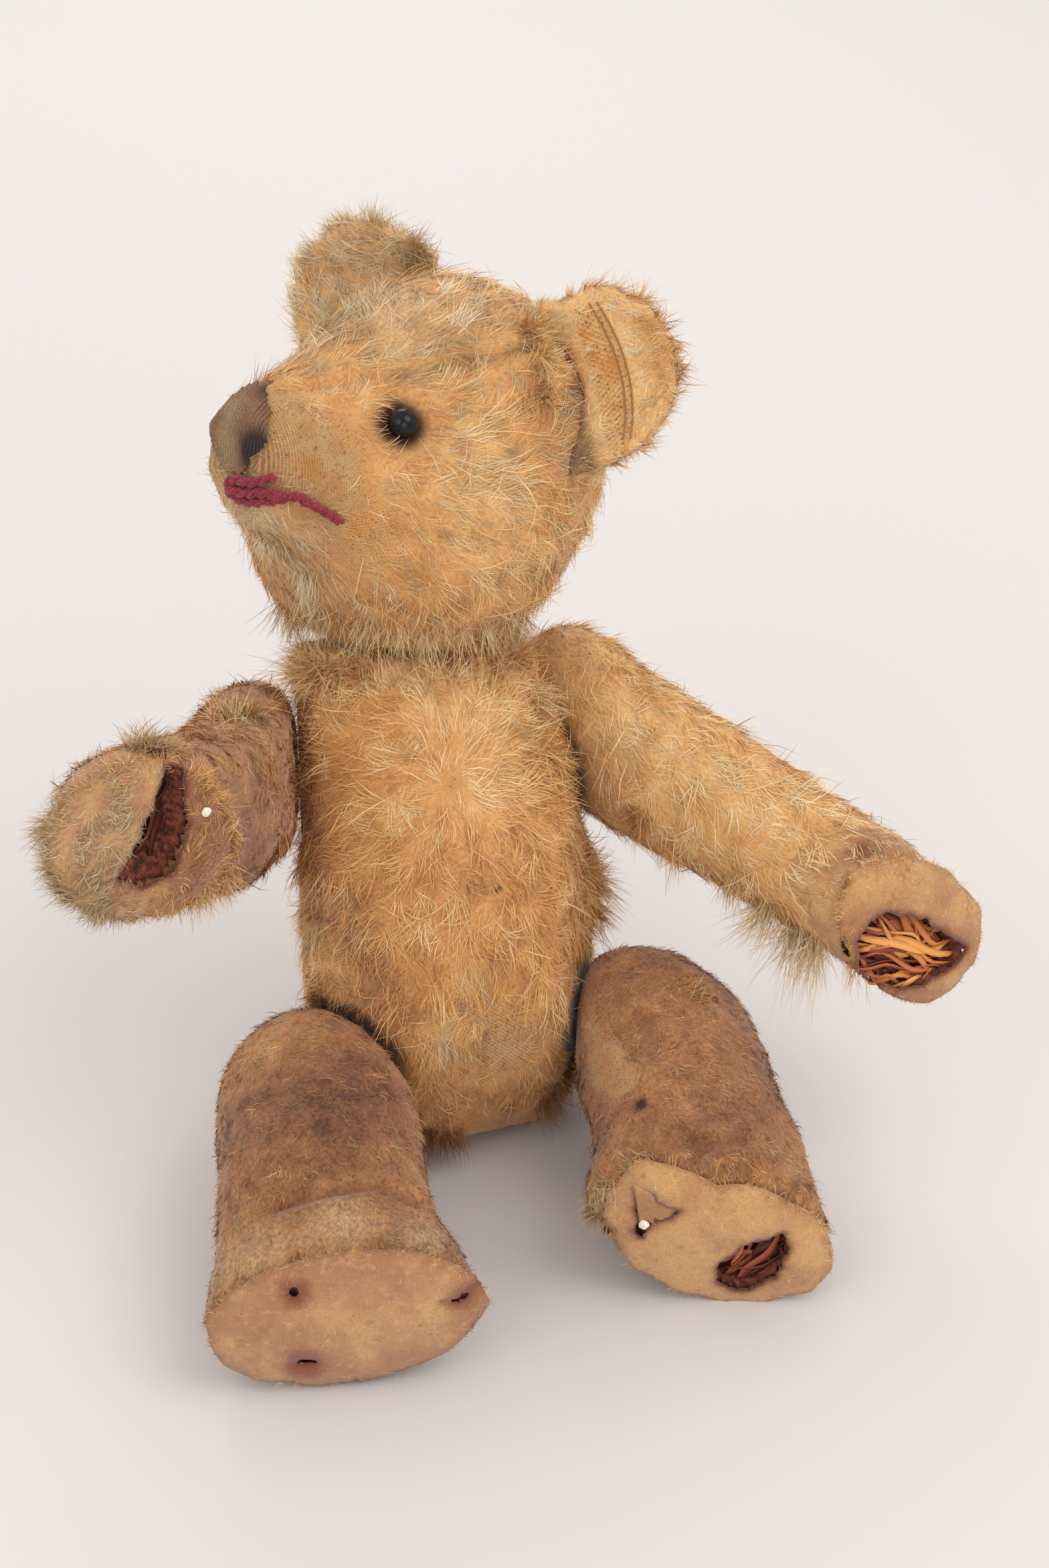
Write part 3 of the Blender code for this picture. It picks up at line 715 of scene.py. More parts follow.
def flow_of(name, spots, way):
    """The lie of the nap at each point of a cover, along its surface."""
    if name == "head":
        up = np.array(HEAD.col[2].to_3d())
        run = unit(spots - np.array(head_point(0, -50, 44)))
        height = (spots - np.array(head_point(0, 0, 0))) @ up / MM
        run += 0.5 * up * np.clip((height - 62) / 14, 0, 1)[:, None]
        run -= 0.9 * up * np.clip((34 - height) / 22, 0, 1)[:, None]
    elif name == "torso":
        swirl = np.array((-0.5, -0.3, 91.5)) * MM
        run = unit(spots - swirl) + np.array((0, 0, -0.3))
        behind = spots[:, 1] > 0.03
        run[behind] = (0, 0.1, -1)
    else:
        joint = np.array(JOINTS[name]["pos_m"])
        end = np.array(PADS[name]["point"]) * MM
        run = np.tile(end - joint, (len(spots), 1)) / np.linalg.norm(end - joint) + np.array((0, 0, -0.25))
    run = run + 0.65 * swirls(spots, 17, len(name)) + 0.35 * swirls(spots, 7, len(name) + 3)
    return along_skin(run, way)


def weave_map(piece, name):
    """A map of the cloth: millimetres round the body and along it."""
    if name == "head":
        start, end = head_point(0, 40, 40), head_point(0, -50, 42)
    elif name == "torso":
        start, end = Vector((0, 0, 0)), Vector(JOINTS["head"]["pos_m"])
    else:
        start, end = Vector(JOINTS[name]["pos_m"]), Vector(PADS[name]["point"]) * MM
    turn = np.array(axis_frame(start, end - start, (0.3, 0.2, 1)).inverted())
    spots = places(piece.data) @ turn[:3, :3].T + turn[:3, 3]
    angle = np.arctan2(spots[:, 1], spots[:, 0])
    mesh = piece.data
    corner = corner_points(mesh)
    first = np.empty(len(mesh.polygons), np.int32)
    mesh.polygons.foreach_get("loop_start", first)
    count = np.empty(len(mesh.polygons), np.int32)
    mesh.polygons.foreach_get("loop_total", count)
    lead = np.repeat(angle[corner[first]], count)
    turned = angle[corner]
    turned = turned - np.round((turned - lead) / math.tau) * math.tau
    radius = np.median(np.linalg.norm(spots[:, :2], axis=1)) / MM
    flat = np.stack([turned * radius, spots[corner, 2] / MM], 1)
    layer = mesh.uv_layers.new(name="weave")
    layer.uv.foreach_set("vector", flat.astype(np.float32).ravel())


def others_gap(name, spots, way, reach):
    """How near the next body is, straight out from each point: 0 when touching, 1 beyond the reach."""
    trees = [body_tree(other) for other in SOFT if other != name]
    free = np.ones(len(spots))
    for i, (spot, out) in enumerate(zip(spots, way)):
        start, out = Vector(spot), Vector(out)
        for tree in trees:
            hit = tree.ray_cast(start + out * 0.2 * MM, out, reach * MM)
            if hit[0] is not None:
                free[i] = min(free[i], hit[3] / (reach * MM))
    return free


def shape_cover(name, piece):
    """Stuffing lumps, sewn seams and folds that pull in, and dents."""
    mesh = piece.data
    spots, way = places(mesh), ways(mesh)
    free = others_gap(name, spots, way, 6)
    store(mesh, "free", free)
    lift = 0.6 * lumps(spots, 14, 1) + 0.35 * lumps(spots, 6, 2)
    for route in SEAMS.get(name, ()):
        gap = line_gap(spots, route)
        lift -= 1.5 * np.exp(-(gap / 1.4) ** 2) - 0.5 * np.exp(-((gap - 3.2) / 1.8) ** 2)
    for centre, reach, changes in PATCHES[name]:
        lift += changes.get("push", 0) * near(spots, placed(name, centre), reach)
    lift *= np.clip(free * 1.5, 0, 1)
    spots = spots + way * (lift * MM)[:, None]
    if name == "torso":
        spots[:, 0] -= 3.6 * MM * near(spots, (31, -8, 4), 17)
        spots[:, 2] += 5.5 * MM * near(spots, (1, -18, 0), 20)
    move_to(mesh, spots)


def dent_holes(name, piece):
    """Sinks the filling behind each worn hole and gives those faces the look of shavings."""
    mesh = piece.data
    spots = places(mesh)
    local = inside_frame(pad_frame(name), spots)
    out = np.array(pad_frame(name).col[2].to_3d())
    sink = np.zeros(len(spots))
    for hole in PADS[name]["holes"]:
        gap = hole_gap(local[:, :2], hole, 0.0)
        depth = min(6.0, 1.5 + hole_place(hole)[2])
        sink = np.maximum(sink, depth * np.clip((2.2 - gap) / 2.2, 0, 1))
    sink *= local[:, 2] > -3
    move_to(mesh, spots - out * (sink * MM)[:, None])
    surface = np.zeros(len(mesh.polygons), np.int32)
    end = local[:, 2] + 1.6 * lumps(spots, 6, 14) > -PADS[name].get("sleeve", -9)
    for i, face in enumerate(mesh.polygons):
        corners = list(face.vertices)
        if (local[corners, 2] > -2.5).all() and (sink[corners] > 0.05).all():
            surface[i] = 1
        elif end[corners].all():
            surface[i] = 2
    mesh.polygons.foreach_set("material_index", surface)
    if "sleeve" in PADS[name]:
        mesh.materials.append(pad_felt())
        store(mesh, "light", 0.1 + 0.25 * lumps(spots, 12, 21))
        store(mesh, "dusk", np.clip(0.3 + 0.3 * lumps(spots, 7, 15), 0, 1))
        store(mesh, "stain", np.zeros(len(spots)))


def placed(name, centre):
    """A patch's centre in the row's millimetres. The head's and the ears' are given in the head's own frame."""
    return tuple(head_point(*centre) / MM) if name == "head" or name.startswith("ear") else centre


# Patches of each cover: centre in millimetres, reach, and what changes there. bald and soil run from 0 to 1,
# grey is the share of hairs that lost their gold, tone is lightness, thin cuts the hairs' number, trim their
# length, and push is how far the cloth stands out in millimetres. A few patches lower tone or add soil as
# painted shade in a fold or crevice; they say so.
PATCHES = {
    "head": (
        ((13, -43, 47), 9.5, dict(bald=0.95, trim=0.7, thin=0.7, tone=-0.06)),
        ((-13, -43, 47), 9.5, dict(bald=0.9, trim=0.7, thin=0.8)),
        ((4, -44, 57), 7, dict(bald=0.6, trim=0.5, thin=0.5, tone=-0.05)),
        ((19, -35, 47), 8, dict(bald=0.6, trim=0.6, thin=0.5)),
        ((17, -37, 36), 8, dict(bald=0.6, trim=0.5, thin=0.4)),
        ((0, -48, 35), 7, dict(bald=0.3, trim=0.4, grey=0.7, tone=0.15)),
        ((2, -44, 22), 11, dict(grey=0.75, tone=0.3, trim=-0.1, push=-1.6)),
        ((22, -29, 28), 8, dict(bald=0.45, thin=0.35, trim=0.2)),
        ((14, -34, 24), 7, dict(bald=0.4, thin=0.3)),
        ((19.6, -20.4, 50.8), 4.2, dict(soil=1.5, thin=4.0, trim=1.0, push=-1.2)),
        ((-19, -21, 51), 4.0, dict(soil=1.5, thin=4.0, trim=1.0, push=-1.2)),
        ((19, -21, 51), 7, dict(trim=0.35, soil=0.35)),
        # Painted shade behind the eye, in its socket.
        ((23, -16, 50), 6, dict(tone=-0.2)),
        ((20, -19, 60), 7, dict(push=0.7, grey=0.3)),
        ((29, -12, 42), 12, dict(tone=0.17, grey=0.2, trim=-0.25)),
        # Painted shade in the fold in front of the ear; the longer hair there is real.
        ((34, 4, 48), 10, dict(tone=-0.12, trim=-0.2)),
        ((10, -10, 73), 14, dict(tone=0.08, grey=0.6, trim=-0.35)),
        ((-10, -22, 66), 10, dict(grey=0.5, tone=0.05)),
        ((31, 12, 67), 7, dict(push=2.2, tone=0.12, trim=-0.4)),
        # Painted shade in the fold where the ear meets the head.
        ((35, 16, 54), 4.5, dict(soil=0.5, tone=-0.1)),
        ((30, -2, 20), 14, dict(tone=0.08)),
        ((6, -24, 3), 12, dict(trim=-0.15)),
        ((22, -10, 3), 12, dict(trim=-0.1)),
    ),
    "torso": (
        ((-0.5, -0.3, 91.5), 4, dict(bald=0.5, trim=0.4)),
        ((0, -2, 94), 18, dict(tone=0.1, trim=-0.1)),
        ((14, 4, 101), 11, dict(tone=0.12, trim=-0.25, grey=0.2)),
        ((4.9, -22.9, 35.9), 7.5, dict(bald=1.3, thin=1.0, trim=0.5, tone=0.1)),
        ((2, -21, 46), 5, dict(bald=0.9, thin=0.6, trim=0.3)),
        ((-8.6, -23, 42.7), 6, dict(bald=0.35, grey=0.5, tone=0.2, thin=0.2)),
        ((-8, -21, 28), 7, dict(grey=0.3, tone=0.05, thin=0.2)),
        ((-1, -23.4, 34.7), 1.6, dict(soil=1.5, thin=1.5, push=-1.2)),
        ((5.6, -13.1, 71.6), 0.9, dict(soil=1.6, thin=2, push=-0.8)),
        ((-4, -17.6, 8), 13, dict(trim=0.75, tone=-0.05)),
        ((14, -14, 8), 12, dict(trim=0.7)),
        ((-26, -6, 30), 8, dict(soil=0.1, tone=0.06)),
        ((0, 16, 107), 12, dict(tone=0.3)),
        ((-18, 18, 107), 9, dict(tone=0.12)),
        ((29, -2, 78), 9, dict(tone=0.12)),
        ((10, -20, 30), 9, dict(tone=0.1)),
        ((25, -14, 22), 7, dict(soil=0.35, tone=-0.1)),
        ((-28, 4, 60), 12, dict(grey=0.4, tone=0.04)),
        ((-29, 9, 82), 6, dict(tone=-0.3)),
        ((-30, 5, 69), 6, dict(tone=-0.2)),
        ((-12, 13, 104), 5, dict(tone=-0.2)),
        ((2, 4, 100), 4, dict(tone=-0.18)),
        ((-20, 2, 92), 4, dict(tone=-0.15)),
        ((13, -6, 70), 6, dict(tone=-0.15)),
        ((-10, -8, 66), 5, dict(tone=-0.14)),
        ((4, -18, 58), 3, dict(tone=-0.2)),
        ((22, 6, 84), 7, dict(tone=-0.12)),
        ((-29, -1.5, 45), 8, dict(tone=0.15)),
        ((35, 12, 52), 13, dict(push=2.6, tone=0.1)),
        ((-14, 2, 86), 7, dict(tone=0.1)),
        ((8, -2, 86), 7, dict(tone=0.1)),
        ((-16, -12, 50), 8, dict(tone=-0.12)),
        ((-3, -18, 56), 7, dict(tone=0.1, grey=0.2)),
        ((16, -14, 52), 8, dict(tone=0.08)),
    ),
    "arm_right": (
        # Painted shade where the arm meets the torso; the shorter hair is wear.
        ((-48, -24, 103), 13, dict(trim=0.4, tone=-0.08)),
        ((-52, -30, 112), 8, dict(trim=0.5, tone=-0.05)),
        ((-84, -34, 120), 12, dict(grey=0.8, tone=0.08, trim=-0.1)),
        ((-82, -30, 104), 12, dict(grey=0.5, tone=0.05)),
        ((-42, 4, 113), 9, dict(grey=0.5, tone=0.1)),
        ((-42, -8, 97), 7, dict(soil=0.3)),
        # Painted shade in the same crevice between arm and torso.
        ((-52.7, -30, 102.3), 9, dict(tone=-0.1)),
        ((-50, -16, 93), 10, dict(push=3.0)),
        ((-44, -6, 122), 10, dict(push=-2.0)),
    ),
    "arm_left": (
        ((48, -4, 88), 16, dict(tone=0.06, trim=-0.2)),
        ((38, 12, 97), 9, dict(tone=0.08)),
        ((82, -38, 70), 11, dict(trim=0.85, thin=0.2, tone=0.14)),
        ((70, -37, 60), 8, dict(trim=0.7, tone=0.08)),
        ((77, -38, 57), 8, dict(trim=0.85, tone=0.05)),
        ((98, -36, 60), 10, dict(trim=0.8, tone=0.08)),
        ((81.3, -33.1, 78), 2.5, dict(soil=1.0, thin=1.0, push=-1.0)),
        ((91.6, -29.3, 76.4), 7, dict(grey=0.7, trim=0.4, push=1.2)),
    ),
    "leg_right": (
        ((-34.8, -38.4, 44.2), 13, dict(tone=-0.26)),
        ((-52, -34, 42), 9, dict(tone=-0.06, grey=0.2)),
        ((-45, -15, 46), 9, dict(tone=0.16)),
        ((-46, -56, 36), 9, dict(tone=-0.1)),
        ((-44, -66, 36), 8, dict(grey=0.75, tone=0.1, push=2.0)),
        ((-60, -65, 29), 8, dict(grey=0.75, tone=0.12, push=1.5)),
        ((-28, -73, 33), 8, dict(grey=0.7, tone=-0.05, push=1.6)),
        ((-68, -60, 18), 10, dict(grey=0.5, tone=0.12)),
    ),
    "leg_left": (
        ((22.2, -34.8, 36.8), 6, dict(bald=1.3, thin=1.1, trim=0.4, tone=0.1)),
        ((20.5, -24, 40), 5, dict(bald=1.1, thin=0.9, trim=0.4)),
        ((23.5, -44, 38), 5, dict(bald=1.0, thin=0.8, trim=0.4)),
        ((24, -53.1, 39.4), 1.5, dict(soil=1.5, thin=1.5, push=-1.0)),
        ((31.3, -67.7, 39), 3, dict(soil=0.8, push=-1.0)),
        ((40, -67.5, 37), 10, dict(tone=-0.16)),
        ((14, -62, 26), 7, dict(grey=0.8, trim=-0.3, tone=0.08)),
        ((55.8, -60.4, 29.4), 8, dict(push=0.9)),
        ((38, -45, 44), 10, dict(tone=0.04)),
        ((57, -48, 33), 11, dict(tone=-0.16)),
        ((46, -58, 36), 9, dict(tone=-0.1)),
    ),
}


def patched(name, spots, key, start=0.0):
    """The start value with every patch's change of one kind added."""
    total = np.full(len(spots), float(start))
    for centre, reach, changes in PATCHES[name]:
        if key in changes:
            total += changes[key] * near(spots, placed(name, centre), reach)
    return total


def mark_cover(name, piece):
    """Where the cover is bald, where it's dirty or darkened as painted shade, and how light it is."""
    mesh = piece.data
    spots = places(mesh)
    store(mesh, "bald", np.clip(patched(name, spots, "bald", 0.06) + 0.16 * lumps(spots, 8, 4), 0, 1))
    seam = np.zeros(len(spots))
    for route in SEAMS.get(name, ()):
        seam = seam + np.exp(-(line_gap(spots, route) / 1.5) ** 2)
    store(mesh, "seam", np.clip(seam, 0, 1))
    store(mesh, "faded", np.clip(patched(name, spots, "grey"), 0, 1))
    # Painted shade: the cloth darkens where another body lies close in front of it (less round the neck) and along
    # the seams; the patches and lumps add dirt.
    crevice_shade = np.clip(1 - stored(mesh, "free"), 0, 1) ** 1.3
    soil = patched(name, spots, "soil", 0.05) + 0.1 * lumps(spots, 22, 5) + 0.45 * seam
    soil += 0.9 * crevice_shade * (1 - 0.95 * near(spots, head_point(0, 0, 0) / MM, 34))
    store(mesh, "soil", np.clip(soil, 0, 1))
    tone = patched(name, spots, "tone", COVERS[name]["tone"])
    tone = tone + 0.10 * lumps(spots, 16, 10) + 0.08 * lumps(spots, 6, 11)
    store(mesh, "tone", np.clip(tone, 0.02, 1))


def make_filling(name):
    """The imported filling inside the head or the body, drawn in a little from its cover."""
    piece = voxel_copy(name + "_filling", [name + "_stuffing"], COVER_VOXEL, 4)
    move_to(piece.data, places(piece.data) - ways(piece.data) * FILLING_INSET * MM)
    piece.data.materials.append(packed_shavings())
    piece.data.shade_smooth()
    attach(piece, name)
    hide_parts(name + "_stuffing")


def make_cover(name):
    """One body's sewn cover: blown out, lumped, marked and laid with its weave."""
    nodes = [name + "_cover", name + "_stuffing"]
    piece = voxel_copy(name + "_plush", nodes, COVER_VOXEL, 4)
    spots, way = places(piece.data), ways(piece.data)
    held = 1.2 - others_gap(name, spots, way, 4)
    held = np.where(held > 0.3, 1.0, 0.0)
    for route in SEAMS.get(name, ()):
        held = np.maximum(held, np.exp(-(line_gap(spots, route) / 2.5) ** 2))
    if name in PADS:
        held = np.maximum(held, inside_frame(pad_frame(name), spots)[:, 2] > -3)
    inflate(piece, held, 3.0, 1.6)
    subdivided(piece)
    shape_cover(name, piece)
    mark_cover(name, piece)
    weave_map(piece, name)
    piece.data.materials.append(woven_mohair())
    if name in PADS:
        piece.data.materials.append(packed_shavings())
        dent_holes(name, piece)
    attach(piece, name)
    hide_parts(name + "_cover")


# ---- pile ----
def hole_place(hole):
    """A hole's middle, half length, half width and turn, from its corner points."""
    rim = np.array(hole, float)
    rim = np.concatenate([a + (b - a) * np.linspace(0, 1, 12)[:-1, None] for a, b in zip(rim, np.roll(rim, -1, 0))])
    spread_out = np.cov((rim - rim.mean(0)).T)
    turn = 0.5 * math.atan2(2 * spread_out[0, 1], spread_out[0, 0] - spread_out[1, 1])
    long, wide = np.array((math.cos(turn), math.sin(turn))), np.array((-math.sin(turn), math.cos(turn)))
    a, b = rim @ long, rim @ wide
    middle = long * (a.max() + a.min()) / 2 + wide * (b.max() + b.min()) / 2
    return middle, (a.max() - a.min()) / 2, (b.max() - b.min()) / 2, turn


def hole_gap(flat, hole, wobble=1.0):
    """Distance in millimetres outside a ragged hole of a pad; below 0 inside it. A hole is its corner points."""
    rim = np.array(hole, float)
    best, inside = np.full(len(flat), 1e9), np.zeros(len(flat), bool)
    for a, b in zip(rim, np.roll(rim, -1, 0)):
        share = np.clip((flat - a) @ (b - a) / ((b - a) @ (b - a)), 0, 1)
        best = np.minimum(best, np.linalg.norm(flat - a - share[:, None] * (b - a), axis=1))
        rise = b[1] - a[1] or 1e-9
        crossed = a[0] + (flat[:, 1] - a[1]) / rise * (b[0] - a[0])
        inside ^= ((a[1] > flat[:, 1]) != (b[1] > flat[:, 1])) & (flat[:, 0] < crossed)
    x, y = (flat - rim.mean(0)).T
    angle = np.arctan2(y, x)
    size = min(0.35, np.ptp(rim, axis=0).min() * 0.06)
    ragged = np.sin(5 * angle + rim[0, 0]) + 0.7 * np.sin(11 * angle) + 0.6 * np.sin(2.3 * x + 3.1 * y)
    return np.where(inside, -best, best) + wobble * size * ragged


def holes_gap(pad, flat):
    """Distance outside the nearest of a pad's holes."""
    return np.min([hole_gap(flat, hole) for hole in pad["holes"]], axis=0)


def ribbons(name, lines, side, normal, width, tone):
    """Flat tapering hairs. lines is (hairs, points, 3); side is each hair's half width as a vector."""
    hairs, steps = lines.shape[:2]
    taper = np.linspace(1, 0.6, steps)[:-1]
    reach = side[:, None] * (width[:, None] * taper)[:, :, None]
    pairs = np.stack([lines[:, :-1] - reach, lines[:, :-1] + reach], 2).reshape(hairs, -1, 3)
    spots = np.concatenate([pairs, lines[:, -1:]], 1)
    per = spots.shape[1]
    faces, totals = [], []
    for i in range(steps - 2):
        faces += [2 * i, 2 * i + 1, 2 * i + 3, 2 * i + 2]
        totals.append(4)
    last = 2 * (steps - 2)
    faces += [last, last + 1, last + 2]
    totals.append(3)
    corner = (np.array(faces)[None] + np.arange(hairs)[:, None] * per).ravel()
    total = np.tile(totals, hairs)
    mesh = bpy.data.meshes.new(name)
    mesh.vertices.add(hairs * per)
    mesh.loops.add(len(corner))
    mesh.polygons.add(len(total))
    mesh.vertices.foreach_set("co", spots.astype(np.float32).ravel())
    mesh.loops.foreach_set("vertex_index", corner.astype(np.int32))
    mesh.polygons.foreach_set("loop_start", np.concatenate([[0], np.cumsum(total)[:-1]]).astype(np.int32))
    mesh.polygons.foreach_set("loop_total", total.astype(np.int32))
    mesh.update(calc_edges=True)
    along = np.concatenate([np.repeat(np.arange(steps - 1) / (steps - 1), 2), [1.0]])
    lean = np.concatenate([np.tile([-1.0, 1.0], steps - 1), [0.0]])
    flat = np.empty((hairs, per, 2))
    flat[:, :, 0] = 0.01 + 0.98 * tone[:, None] + 0.006 * lean
    flat[:, :, 1] = 0.04 + 0.92 * along
    layer = mesh.uv_layers.new(name="OFBake")
    layer.uv.foreach_set("vector", flat.reshape(-1, 2)[corner].astype(np.float32).ravel())
    mesh.shade_smooth()
    mesh.normals_split_custom_set_from_vertices(np.repeat(normal, per, axis=0).astype(np.float32))
    return mesh


def scatter(mesh, count, density, rng):
    """Random points on a mesh by area and density: triangle corners and their weights."""
    mesh.calc_loop_triangles()
    corners = np.empty(len(mesh.loop_triangles) * 3, np.int32)
    mesh.loop_triangles.foreach_get("vertices", corners)
    corners = corners.reshape(-1, 3)
    area = np.empty(len(corners), np.float32)
    mesh.loop_triangles.foreach_get("area", area)
    weight = area * density[corners].mean(1)
    pick = rng.choice(len(corners), count, p=weight / weight.sum())
    a, b = rng.random(count), rng.random(count)
    flip = a + b > 1
    a[flip], b[flip] = 1 - a[flip], 1 - b[flip]
    return corners[pick], np.stack([1 - a - b, a, b], 1)


def spread(values, corners, weights):
    """Reads per-point values at scattered places."""
    found = values[corners]
    return (found * (weights[..., None] if found.ndim == 3 else weights)).sum(1)


def clump_of(roots, share, rng):
    """Which lock each hair belongs to: the nearest of a random few."""
    leaders = np.sort(rng.choice(len(roots), max(len(roots) // share, 1), replace=False))
    tree = KDTree(len(leaders))
    for i, j in enumerate(leaders):
        tree.insert(roots[j], i)
    tree.balance()
    return leaders[[tree.find(p)[1] for p in roots]]


def grow_pile(name, skin, count, field, seed, share=22):
    """Hairs on a skin: density, length, lift, tone, grey and flow are numbers per point of the skin."""
    rng = np.random.default_rng(seed)
    steps = 3
    mesh = skin.data
    corners, weights = scatter(mesh, count, field["density"], rng)
    root = spread(places(mesh), corners, weights)
    up = unit(spread(ways(mesh), corners, weights))
    flow = spread(field["flow"], corners, weights)
    lock = clump_of(root, share, rng)
    kind = rng.random(count)
    low, stray = kind < 0.4, kind > 0.965
    turn = rng.normal(0, 0.42, count)[lock] + rng.normal(0, 0.2, count) * np.where(low, 3.5, np.where(stray, 4, 1))
    flow = unit(flow * np.cos(turn)[:, None] + np.cross(up, flow) * np.sin(turn)[:, None])
    length = spread(field["length"], corners, weights) * MM
    length = length * (0.65 + 0.6 * rng.random(count)[lock]) * (0.6 + 0.6 * rng.random(count))
    length = length * np.where(low, 0.55, np.where(stray, 1.3, 1.0))
    lift = spread(field["lift"], corners, weights) * (0.7 + 0.6 * rng.random(count)[lock])
    lift = lift + rng.normal(0, 0.1, count) + np.where(stray, 0.35, 0.0)
    side = np.cross(up, flow)
    curl = rng.normal(0, 0.22, count)[lock] + rng.normal(0, 0.16, count)
    line = [root - up * 0.25 * MM]
    for i in range(1, steps):
        part = i / (steps - 1)
        slope = lift * (1.3 - 0.95 * part)
        way = flow * np.cos(slope)[:, None] + up * np.sin(slope)[:, None] + side * (curl * part * 2.4)[:, None]
        line.append(line[-1] + unit(way) * (length / (steps - 1))[:, None])
    line = np.stack(line, 1)
    pull = np.linspace(0, 0.42, steps)[None, :] * (rng.random(count) * ~stray)[:, None]
    line = line + (line[lock] - line) * pull[:, :, None]
    line[:, :, 2] = np.maximum(line[:, :, 2], FLOOR_GAP * MM)
    run = unit(line[:, -1] - line[:, 0])
    flat = unit(np.cross(up, run))
    roll = rng.uniform(-0.9, 0.9, count)
    edge = unit(flat * np.cos(roll)[:, None] + np.cross(run, flat) * np.sin(roll)[:, None])
    face = unit(np.cross(run, edge))
    face *= np.sign((face * up).sum(1))[:, None]
    tone = spread(field["tone"], corners, weights) + rng.normal(0, 0.13, count)[lock] + rng.normal(0, 0.08, count)
    tone = np.clip(tone + np.where(low, -0.05, np.where(stray, 0.1, 0.02)), 0.01, 0.99)
    grey = rng.random(count) * 0.5 + rng.random(count)[lock] * 0.5 < spread(field["grey"], corners, weights)
    width = (0.055 + 0.05 * rng.random(count)) * MM * (0.6 + 0.4 * np.minimum(length / (5 * MM), 1.4))
    shade = np.where(grey, 0.53 + 0.46 * tone, 0.47 * tone)
    mesh = ribbons(name, line, -edge, unit(up * 0.75 + face * 0.25), width, shade)
    return new_piece(name, mesh, mohair_pile())


def pile_field(name, skin):
    """How the pile stands on one cover."""
    look = bpy.context.scene.threadbare_bear
    mesh = skin.data
    spots, way = places(mesh), ways(mesh)
    free, soil, seam = stored(mesh, "free"), stored(mesh, "soil"), stored(mesh, "seam")
    density = np.clip(patched(name, spots, "thin") * -1 + 1 + 0.25 * lumps(spots, 7, 8), 0.0, 1.3)
    density *= 0.05 + 0.95 * np.clip(free * 1.3, 0, 1)
    cover = COVERS[name]
    length = cover["length"] * look.pile_length * (1 + 0.25 * lumps(spots, 10, 9))
    length = length * np.clip(1 - patched(name, spots, "trim"), 0.1, 2)
    length = np.minimum(length, 1.0 + 7 * free) * (1 - 0.65 * seam)
    density *= 1 - 0.6 * seam
    # Hairs darken with the stored soil, which holds dirt and painted shade between bodies and along seams.
    field = dict(density=density, length=length, lift=cover["lift"] + 0.18 * lumps(spots, 9, 12),
                 tone=stored(mesh, "tone") - np.minimum(0.35 * soil, 0.22), flow=flow_of(name, spots, way),
                 grey=np.clip(patched(name, spots, "grey", cover["grey"]) + 0.2 * lumps(spots, 12, 13), 0, 1))
    if name in PADS:
        frame_in = pad_frame(name)
        local = inside_frame(frame_in, spots)
        outline = pad_outline(name)
        inside = rim_gap(local[:, :2], outline)[0]
        field["density"] *= np.where(inside < -0.3, 1.0, np.clip((-local[:, 2] - 1.0) / 1.4, 0, 1))
        field["density"] *= (inside < 2.0) | (local[:, 2] < -9)
        rim = np.exp(-((local[:, 2] + 1.4) / 2.4) ** 2)
        inward = np.column_stack([outline[0] - local[:, :2], np.zeros(len(spots))])
        over = unit(unit(inward) * 0.35 + (0, 0, 1.0)) @ np.array(frame_in)[:3, :3].T
        field["flow"] = unit(field["flow"] * (1 - 0.8 * rim)[:, None] + over * (0.8 * rim)[:, None])
        field["length"] = field["length"] * (1 - rim) + PADS[name]["cover"] * rim
        field["density"] *= 1 + 0.7 * rim
    return field


def make_pile(name, count, seed):
    skin = bpy.data.objects[name + "_plush"]
    made = grow_pile(name + "_pile", skin, count, pile_field(name, skin), seed)
    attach(made, name)


# ---- pads ----
def pad_outline(name):
    """The pad's rim in its own plane: middle, and radius by angle, in millimetres."""
    flat = inside_frame(pad_frame(name), places(frame["nodes"][name + "_pad"].data))[:, :2]
    middle = (flat.max(0) + flat.min(0)) / 2
    angle = np.linspace(-math.pi, math.pi, 73)[:-1]
    rays = np.stack([np.cos(angle), np.sin(angle)], 1)
    reach = ((flat - middle) @ rays.T).max(0)
    # The outline whose furthest reach in every direction is this one.
    slope = (np.roll(reach, -1) - np.roll(reach, 1)) / (2 * (angle[1] - angle[0]))
    rim = rays * reach[:, None] + np.stack([-rays[:, 1], rays[:, 0]], 1) * slope[:, None]
    rim = rim[np.argsort(np.arctan2(rim[:, 1], rim[:, 0]))]
    bearing = np.arctan2(rim[:, 1], rim[:, 0])
    turns, factors = zip(*PADS[name]["rim"])
    worn = np.interp(np.degrees(bearing), turns, factors)
    worn = worn * (1 + 0.012 * np.sin(9 * bearing) + 0.01 * np.sin(17 * bearing))
    return middle, bearing, np.hypot(rim[:, 0], rim[:, 1]) * worn


def rim_gap(flat, outline):
    """Millimetres inside the pad's rim, and the share of the way out to it."""
    middle, angle, radius = outline
    at = flat - middle
    reach = np.interp(np.arctan2(at[:, 1], at[:, 0]), angle, radius, period=math.tau)
    far = np.hypot(at[:, 0], at[:, 1])
    return reach - far, far / reach


def onto_pad(mesh, name):
    """Moves a bmesh from the millimetres of a pad's frame to its place."""
    bmesh.ops.transform(mesh, matrix=pad_frame(name) @ Matrix.Scale(MM, 4), verts=mesh.verts)


def pad_height(name, share, flat):
    """How far the felt stands out of the pad's plane, in millimetres."""
    pad = PADS[name]
    lift = 0.3 + pad["dome"] * (1 - share ** 2.6)
    for hole in pad["holes"]:
        gap = np.maximum(hole_gap(flat, hole), 0)
        lift = lift - 0.7 * np.exp(-gap / 1.6)
    return lift


